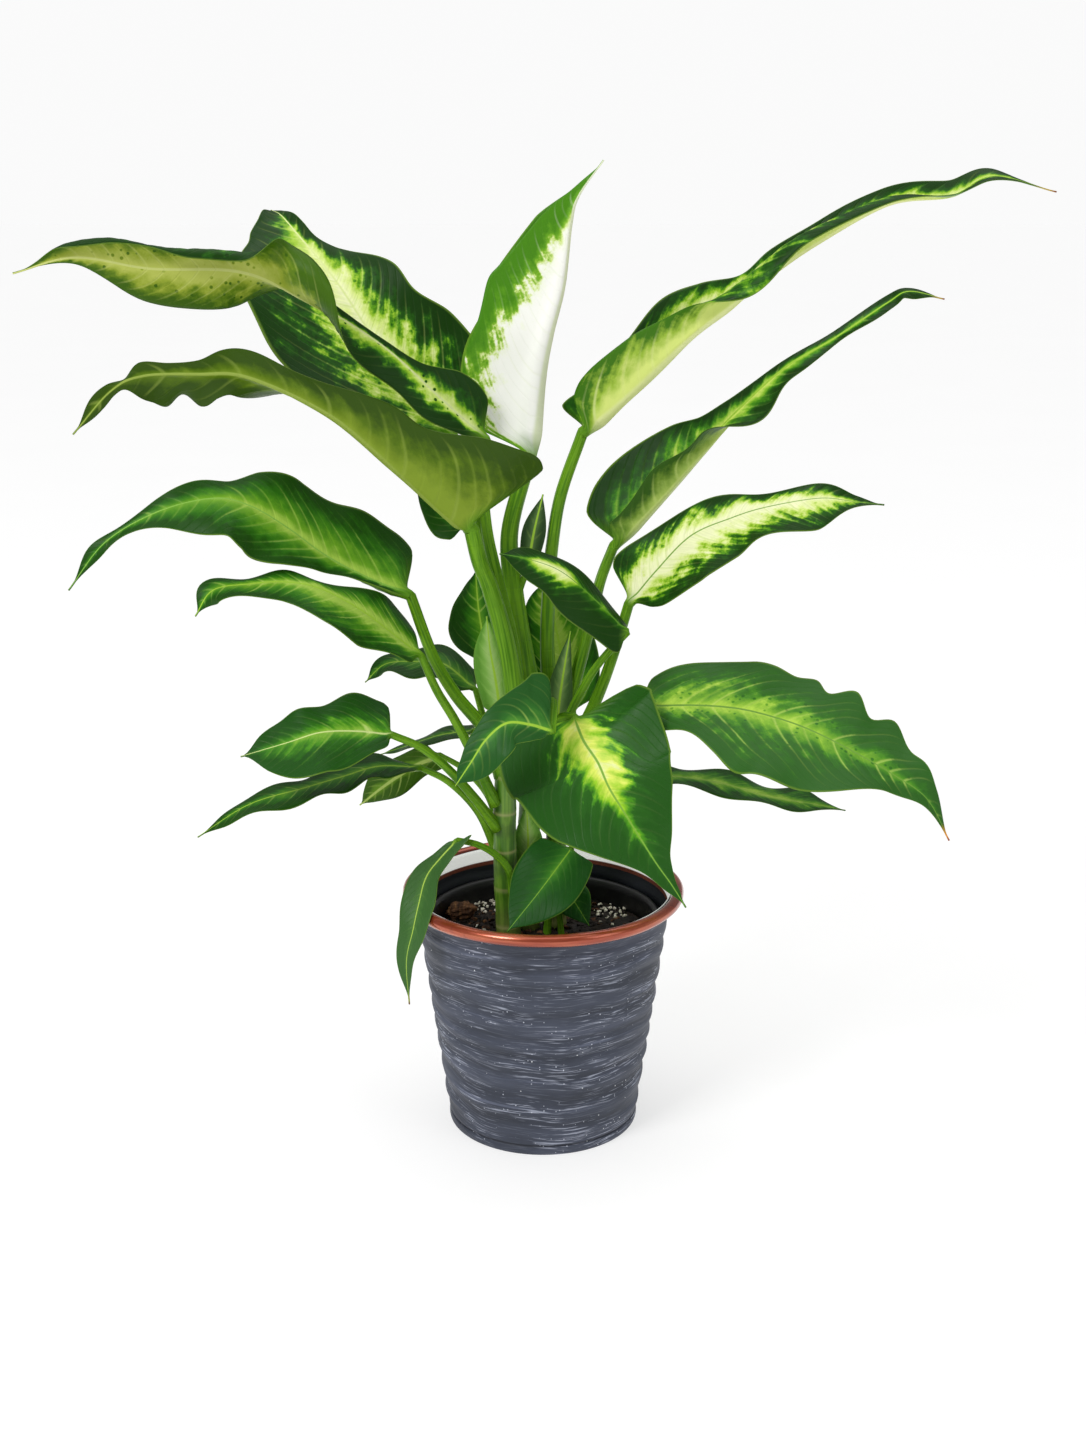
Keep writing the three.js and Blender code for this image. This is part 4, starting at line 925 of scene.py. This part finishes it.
leaf("leaf_left_behind", seed=14,
     stalk=[(-20, -4, 236), (-30, 10, 254), (-32, 30, 272)], stalk_radius=(2.6, 2),
     rib=[(-35, 35, 290), (-39, 42, 313), (-41, 48, 337)],
     face=[(0, -0.9, 0.3)],
     width=([2, 2, 2, 8, 15, 19, 20, 18, 15, 10, 5, 0], [2, 2, 3, 10, 14, 16, 16, 14, 12, 8, 4, 0]),
     fold=(5, 5),
     top=LIME_HEART, reach=[(0, 0.3), (1, 0.3)])

leaf("leaf_left_back_small", seed=15,
     stalk=[(-22, -4, 219), (-34, 17, 246), (-41, 30, 266)], stalk_radius=(2.6, 1.8),
     rib=[(-60, 38, 280), (-78, 45, 280), (-97, 50, 277), (-110, 52, 265)],
     face=[(0.2, -0.3, 0.9)], width=([15, 18, 20, 10, 0], [15, 17, 20, 12, 0]),
     wave=(2, 2),
     top=LIME_HEART, reach=[(0, 0.3), (1, 0.2)])

leaf("leaf_left_low_short", seed=16,
     stalk=[(-27, -13, 192), (-40, -20, 213), (-56, -26, 234), (-71, -28, 247), (-87, -30, 255)],
     stalk_radius=(3, 2.2),
     rib=[(-107, -36, 259), (-127, -42, 260), (-146, -46, 255), (-172, -50, 248)],
     face=[(0.1, -0.5, 0.85)], width=([8, 24, 33, 30, 0], [24, 27, 19, 18, 0]),
     fold=(5, 5), wave=((2, 2), (2, 3)), lobe=(2, 8),
     top=[(0, "1f5212"), (0.38, "2d6b16"), (0.6, "4f961f"), (0.8, "8cc03e"), (1, "dcee90")],
     reach=[(0, 0.3), (0.6, 0.35), (1, 0.05)], feather=0.7, vein=0.2, midrib=("dcea9c", 1))

leaf("leaf_left_low_long", seed=17,
     stalk=[(-26, -4, 170), (-38, -8, 200), (-55, -11, 220), (-72, -10, 229)], stalk_radius=(2.8, 2),
     rib=[(-96, -20, 233), (-116, -30, 230), (-138, -40, 226), (-168, -52, 220), (-197, -60, 203)],
     face=[(0, -0.15, 1)], width=([8, 14, 16, 17, 14, 0], [8, 15, 17, 12, 9, 0]),
     wave=(2, 4),
     top=LIME_HEART, reach=[(0, 0.3), (0.6, 0.3), (1, 0)], under=OLIVE_BACK)

leaf("leaf_left_low_curled", seed=18,
     stalk=[(-26, -4, 188), (-33, 4, 207), (-47, 14, 220), (-63, 20, 228)], stalk_radius=(2.4, 1.6),
     rib=[(-78, 22, 221), (-97, 25, 207), (-113, 28, 193)],
     face=[(0.4, 0.6, 0.6)], width=([12, 12, 12, 0], [12, 12, 12, 0]),
     top=LIME_HEART, reach=[(0, 0.2), (1, 0.1)])

leaf("leaf_left_low_olive", seed=19,
     stalk=[(-12, 14, 201), (-21, 22, 222), (-42, 45, 236)], stalk_radius=(2.4, 1.8),
     rib=[(-64, 52, 231), (-84, 60, 222), (-103, 66, 214)],
     face=[(0, -0.1, 1)], width=([14, 14, 10, 0], [14, 14, 10, 0]),
     top=LIME_HEART, reach=[(0, 0.2), (1, 0.1)], under=OLIVE_BACK)

# ---------------------------------------------------------------- leaves on the right
# On the right two long leaves stand out like folded gutters and flop open towards their tips, above a
# cream one, a broad dark green one and a narrow one.
DARK_HEART = [(0.0, "153a06"), (0.35, "235a0c"), (0.6, "478c16"), (0.8, "8abf30"), (1.0, "d2e66c")]
TIP_BROWN = ("b9a04c", "8a4f22")

leaf("leaf_right_top", seed=20,
     stalk=[(4, 16, 262), (2, 17, 295), (3, 14, 332), (5, 10, 359), (10, 7, 389), (22, 5, 424)],
     stalk_radius=(5, 3.6),
     rib=[(46, 0, 446), (82, -5, 480), (114, -10, 505), (147, -15, 529), (186, -20, 551), (219, -25, 555),
          (240, -28, 565), (274, -30, 557)],
     face=[(-0.5, -0.15, 0.85)],
     width=([31, 22, 17, 23, 28, 20, 9, 10, 10, 11, 10, 10, 10, 10, 9, 3, 0],
            [16, 23, 27, 23, 16, 20, 27, 29, 26, 20, 16, 14, 11, 8, 6, 3, 0]),
     fold=([40, 50, 60, 65, 60, 50, 30, 20, 0], [85, 82, 70, 85, 85, 60, 10, 0, 0]),
     curl=([20, 20, 20, 10, 10, 10, 0, 0, 0], [10, 10, 0, -150, -140, -80, 0, 0, 0]), wave=((2, 3), (2, 4)),
     shift=(0, 0.3), lobe=(24, 5), vein_gap=11,
     top=CREAM_HEART, reach=[(0, 0.5), (0.35, 0.75), (0.6, 0.5), (0.9, 0.2), (1, 0)], feather=0.55, mottle=0.4,
     under=[(0.1, "3f7410"), (0.5, "9fc040"), (0.95, "d2e07a")], under_vein="e2eaa0", tip=TIP_BROWN)

leaf("leaf_right_upper", seed=21,
     stalk=[(11, 14, 236), (16, 12, 265), (22, 8, 290), (28, 3, 316), (33, -2, 340), (40, -5, 360)],
     stalk_radius=(4.5, 3.2),
     rib=[(67, -8, 390), (89, -10, 416), (108, -12, 438), (134, -16, 463), (161, -20, 480), (188, -24, 499),
          (199, -26, 505), (218, -28, 501)],
     face=[(-0.5, -0.25, 0.85)],
     width=([24, 30, 35, 33, 26, 14, 8, 5, 4, 4, 4, 4, 4, 4, 4, 3, 0],
            [24, 16, 13, 14, 14, 17, 19, 17, 12, 6, 4, 5, 4, 5, 5, 4, 0]),
     fold=([40, 35, 35, 50, 50, 40, 20, 0, 0], [85, 75, 55, -10, -35, -40, -40, -30, 0]), curl=(20, 15),
     wave=((2, 3), (3, 6)), shift=(0, 0.3), lobe=(28, 14), vein_gap=9,
     top=DARK_HEART, reach=[(0, 0.5), (0.35, 0.55), (0.65, 0.35), (0.9, 0.1), (1, 0)], feather=0.5, mottle=0.45,
     vein=0.2, under=[(0.1, "2f5610"), (0.5, "64842a"), (0.95, "9bb254")], under_vein="b2c470", tip=TIP_BROWN)

leaf("leaf_right_cream", seed=22,
     stalk=[(14, 13, 224), (25, 10, 250), (34, 4, 273), (42, -8, 301), (49, -20, 330)], stalk_radius=(4, 3),
     rib=[(64, -24, 350), (83, -28, 371), (105, -33, 382), (124, -38, 389), (152, -45, 395), (170, -50, 394),
          (186, -55, 393)],
     face=[(-0.3, -0.65, 0.7)], width=([24, 22, 17, 13, 9, 8, 4, 0], [10, 27, 40, 31, 26, 24, 6, 0]),
     fold=(15, 10), curl=(5, 5), wave=(3, 3),
     top=CREAM_HEART, reach=[(0, 0.6), (0.5, 0.6), (0.75, 0.45), (0.95, 0)], feather=0.5, mottle=0.55,
     spots=0.12, midrib=("7da546", 0.8))

leaf("leaf_right_large", seed=23,
     stalk=[(10, 12, 192), (15, 6, 216), (23, -2, 241), (34, -14, 259), (54, -27, 271)], stalk_radius=(4, 3),
     rib=[(84, -38, 275), (109, -48, 276), (130, -56, 273), (149, -64, 268), (172, -72, 258), (196, -78, 245),
          (213, -82, 233), (226, -85, 210)],
     face=[(0, -0.45, 0.9)],
     width=([13, 24, 35, 40, 39, 36, 35, 40, 31, 38, 28, 38, 22, 17, 10, 5, 0],
            [18, 24, 43, 56, 52, 39, 15, 6, 0]),
     fold=(5, 5), wave=(3, 4), lobe=(16, 6), vein_gap=9,
     top=[(0, "2f6120"), (0.35, "346e1e"), (0.55, "4c8c22"), (0.8, "82b632"), (1, "b8dc50")],
     reach=[(0, 0.5), (0.4, 0.4), (0.75, 0.2), (1, -0.1)], feather=0.5, mottle=0.5, spots=0.25, vein=0.45,
     midrib=("6d9a3c", 1.2), tip=("d8912c", "a5481c"))

leaf("leaf_right_narrow", seed=24,
     stalk=[(12, 14, 178), (22, 10, 199), (41, 2, 212), (64, -5, 221)], stalk_radius=(3, 2.4),
     rib=[(78, -8, 223), (106, -12, 220), (133, -16, 213), (157, -20, 210), (178, -24, 207)],
     face=[(0, -0.1, 1)], width=([10, 15, 17, 17, 14, 0], [8, 14, 16, 14, 10, 0]),
     wave=(2, 3),
     top=LIME_HEART, reach=[(0, 0.4), (0.6, 0.5), (1, 0.3)], feather=0.6, mottle=0.6, vein=0.15,
     midrib=("8fae50", 0.8))

# ---------------------------------------------------------------- leaves in the middle
# In the middle one broad heart-shaped leaf hangs forwards, with a folded and a drooping leaf beside it
# and one standing close behind the canes.
STAR_HEART = [(0.0, "235516"), (0.36, "2a6219"), (0.48, "4f981c"), (0.6, "9bd02c"), (0.78, "e4f068"),
              (1.0, "f6facc")]
BLUE_GREENS = [(0.0, "23561e"), (0.4, "2f6a24"), (0.65, "549430"), (0.85, "a5d24c"), (1.0, "def29a")]

leaf("leaf_front_heart", seed=25,
     stalk=[(3, 6, 200), (2, -4, 228), (5, -16, 250), (10, -27, 264), (18, -35, 267)], stalk_radius=(3.6, 2.8),
     rib=[(23, -48, 257), (31, -58, 247), (37, -66, 235), (45, -72, 223), (53, -77, 211), (63, -82, 196),
          (72, -86, 184), (80, -90, 172)],
     face=[(-0.1, -0.9, 0.4)],
     width=([26, 42, 48, 47, 43, 41, 40, 37, 33, 28, 23, 17, 10, 6, 3, 2, 0],
            [28, 50, 52, 47, 38, 25, 10, 5, 0]),
     fold=(5, 10), curl=(5, 5), wave=((1.5, 3), (2, 3)), lobe=(14, 20), rounding=0.05, vein_gap=8.5,
     top=STAR_HEART, reach=[(0, 0.3), (0.3, 0.36), (0.55, 0.12), (0.8, -0.1)], feather=0.7, vein=0.08,
     midrib=("7fae40", 1.2))

leaf("leaf_front_folded", seed=26,
     stalk=[(-6, -8, 251), (0, -22, 266), (5, -38, 277), (6, -56, 280), (5, -74, 270)], stalk_radius=(3, 2.2),
     rib=[(-7, -78, 275), (-20, -82, 277), (-31, -86, 269), (-40, -90, 256), (-48, -92, 244)],
     face=[(0, -0.8, 0.6)], width=([4, 10, 14, 16, 12, 0], [10, 30, 31, 22, 14, 11, 9, 8, 6, 4, 0]),
     clasp=0,
     top=BLUE_GREENS, reach=[(0, 0.2), (0.5, 0.2), (1, 0)], mottle=0.2)

leaf("leaf_centre_drooping", seed=27,
     stalk=[(9, 10, 226), (14, -6, 256), (26, -22, 286), (36, -31, 303), (48, -34, 317)], stalk_radius=(2.8, 2),
     rib=[(30, -38, 336), (11, -42, 353), (-7, -46, 361), (-24, -50, 365)],
     face=[(0.4, -0.4, 0.75)], width=([16, 21, 20, 13, 0], [6, 15, 15, 13, 0]),
     fold=(-25, -10), lobe=(14, 8),
     top=CREAM_HEART, reach=[(0, -0.1), (0.35, -0.1), (0.5, 0.45), (0.68, 0.4), (0.8, -0.1), (1, -0.3)],
     feather=0.5, mottle=0.35, vein=0.08, midrib=("5f9030", 0.6))

leaf("leaf_centre_back", seed=28,
     stalk=[(12, 18, 219), (15, 22, 237), (18, 25, 253)], stalk_radius=(3, 2.2),
     rib=[(13, 35, 277), (8, 42, 301), (3, 46, 318), (1, 48, 330)],
     face=[(0, -0.9, 0.3)], width=([14, 22, 22, 14, 0], [14, 22, 20, 12, 0]),
     fold=(5, 5),
     top=LIME_HEART, reach=[(0, 0.7), (1, 0.6)], feather=0.7, vein=0.5)

# ---------------------------------------------------------------- newest leaf
# The newest leaf stands upright at the top of the plant, still folded along its midrib, with a nearly
# white middle and mid-green margins.
NEW_WHITE = [(0.0, "488614"), (0.28, "5f9c1e"), (0.42, "86b930"), (0.5, "d2e68a"), (0.62, "f8fbe8"),
             (0.8, "fdfdf6")]

leaf("leaf_new_upright", seed=29,
     stalk=[(-8, 7, 263), (-13, 6, 296), (-18, 8, 332), (-20, 11, 367), (-9, 15, 408)], stalk_radius=(8, 5),
     rib=[(-4, 18, 453), (2, 18, 479), (10, 20, 506), (15, 20, 540), (20, 22, 555), (34, 25, 574)],
     face=[(-1, 0, 0)], width=([34, 44, 41, 39, 19, 6, 0], [34, 43, 40, 38, 18, 5, 0]),
     fold=(78, 82), curl=(0, 5), shift=(0, 0.3), vein_gap=8,
     top=NEW_WHITE, reach=[(0, 0.85), (0.3, 0.68), (0.55, 0.38), (0.75, 0.05), (0.9, -0.2)], feather=0.35,
     mottle=0.5, vein=0.1, midrib=("4f8a2a", 0.8), under=NEW_WHITE, under_vein="e9f0cc")

# ---------------------------------------------------------------- floor, light and camera
# The plant stands on a plain pale floor under broad, soft studio light. The camera looks a little down
# on it from the front.
FLOOR_REACH = 30
SURROUND = 0.4
SURROUND_IN_GLOSS = -0.15
BACKDROP = 0.56
CAMERA_PLACE = (0.0, -1.067, 0.559)
CAMERA_PITCH = math.radians(74)
CAMERA_LENS = 46.47
CAMERA_SENSOR = 36

floor_coat, shader = new_finish("pale_floor", Roughness=0.9, Specular_IOR_Level=0.1, Emission_Strength=0.56)
linked(shader, Base_Color=mix(cloud(place_on(shader), 3.0), "bababa", "bebebe"))
corners = [(x * FLOOR_REACH, y * FLOOR_REACH, 0) for x, y in ((-1, -1), (1, -1), (1, 1), (-1, 1))]
solid("floor", corners, [[0, 1, 2, 3]], floor_coat)

world = bpy.data.worlds.new("studio")
bpy.context.scene.world = world
world.use_nodes = True
surround = world.node_tree.nodes["Background"]
surround.inputs["Color"].default_value = (1.0, 1.0, 1.0, 1.0)
ray = add("ShaderNodeLightPath", tree=world.node_tree)
glow = calc("MULTIPLY_ADD", ray["Is Glossy Ray"], SURROUND_IN_GLOSS, SURROUND)
linked(surround, Strength=calc("MULTIPLY_ADD", ray["Is Camera Ray"], BACKDROP, glow))


def softbox(name, place, aim, width, height, power):
    """A broad area light that points at a place."""
    lamp = bpy.data.lights.new(name, "AREA")
    lamp.shape = "RECTANGLE"
    lamp.size, lamp.size_y, lamp.energy = width, height, power
    towards = np.array(aim, float) - np.array(place, float)
    dip = math.acos(-towards[2] / np.linalg.norm(towards))
    placed(name, lamp, place, (dip, 0, math.pi + math.atan2(towards[0], -towards[1])))


softbox("key", (-1.2, -1.4, 1.9), (0, 0, 0.3), width=0.8, height=0.8, power=27)
softbox("fill", (1.6, -1.3, 1.2), (0, 0, 0.25), width=0.8, height=1.2, power=5)
overhead = bpy.data.lights.new("overhead", "SUN")
overhead.energy, overhead.angle = 1.25, 1.2
placed("overhead", overhead, rotation=(-0.15, 0.05, 0))

camera = bpy.data.cameras.new("camera")
camera.lens, camera.sensor_width = CAMERA_LENS, CAMERA_SENSOR
camera.clip_start, camera.clip_end = 0.01, 100
bpy.context.scene.camera = placed("camera", camera, CAMERA_PLACE, (CAMERA_PITCH, 0, 0))
bpy.context.scene.view_settings.view_transform = "Standard"

bpy.context.view_layer.update()
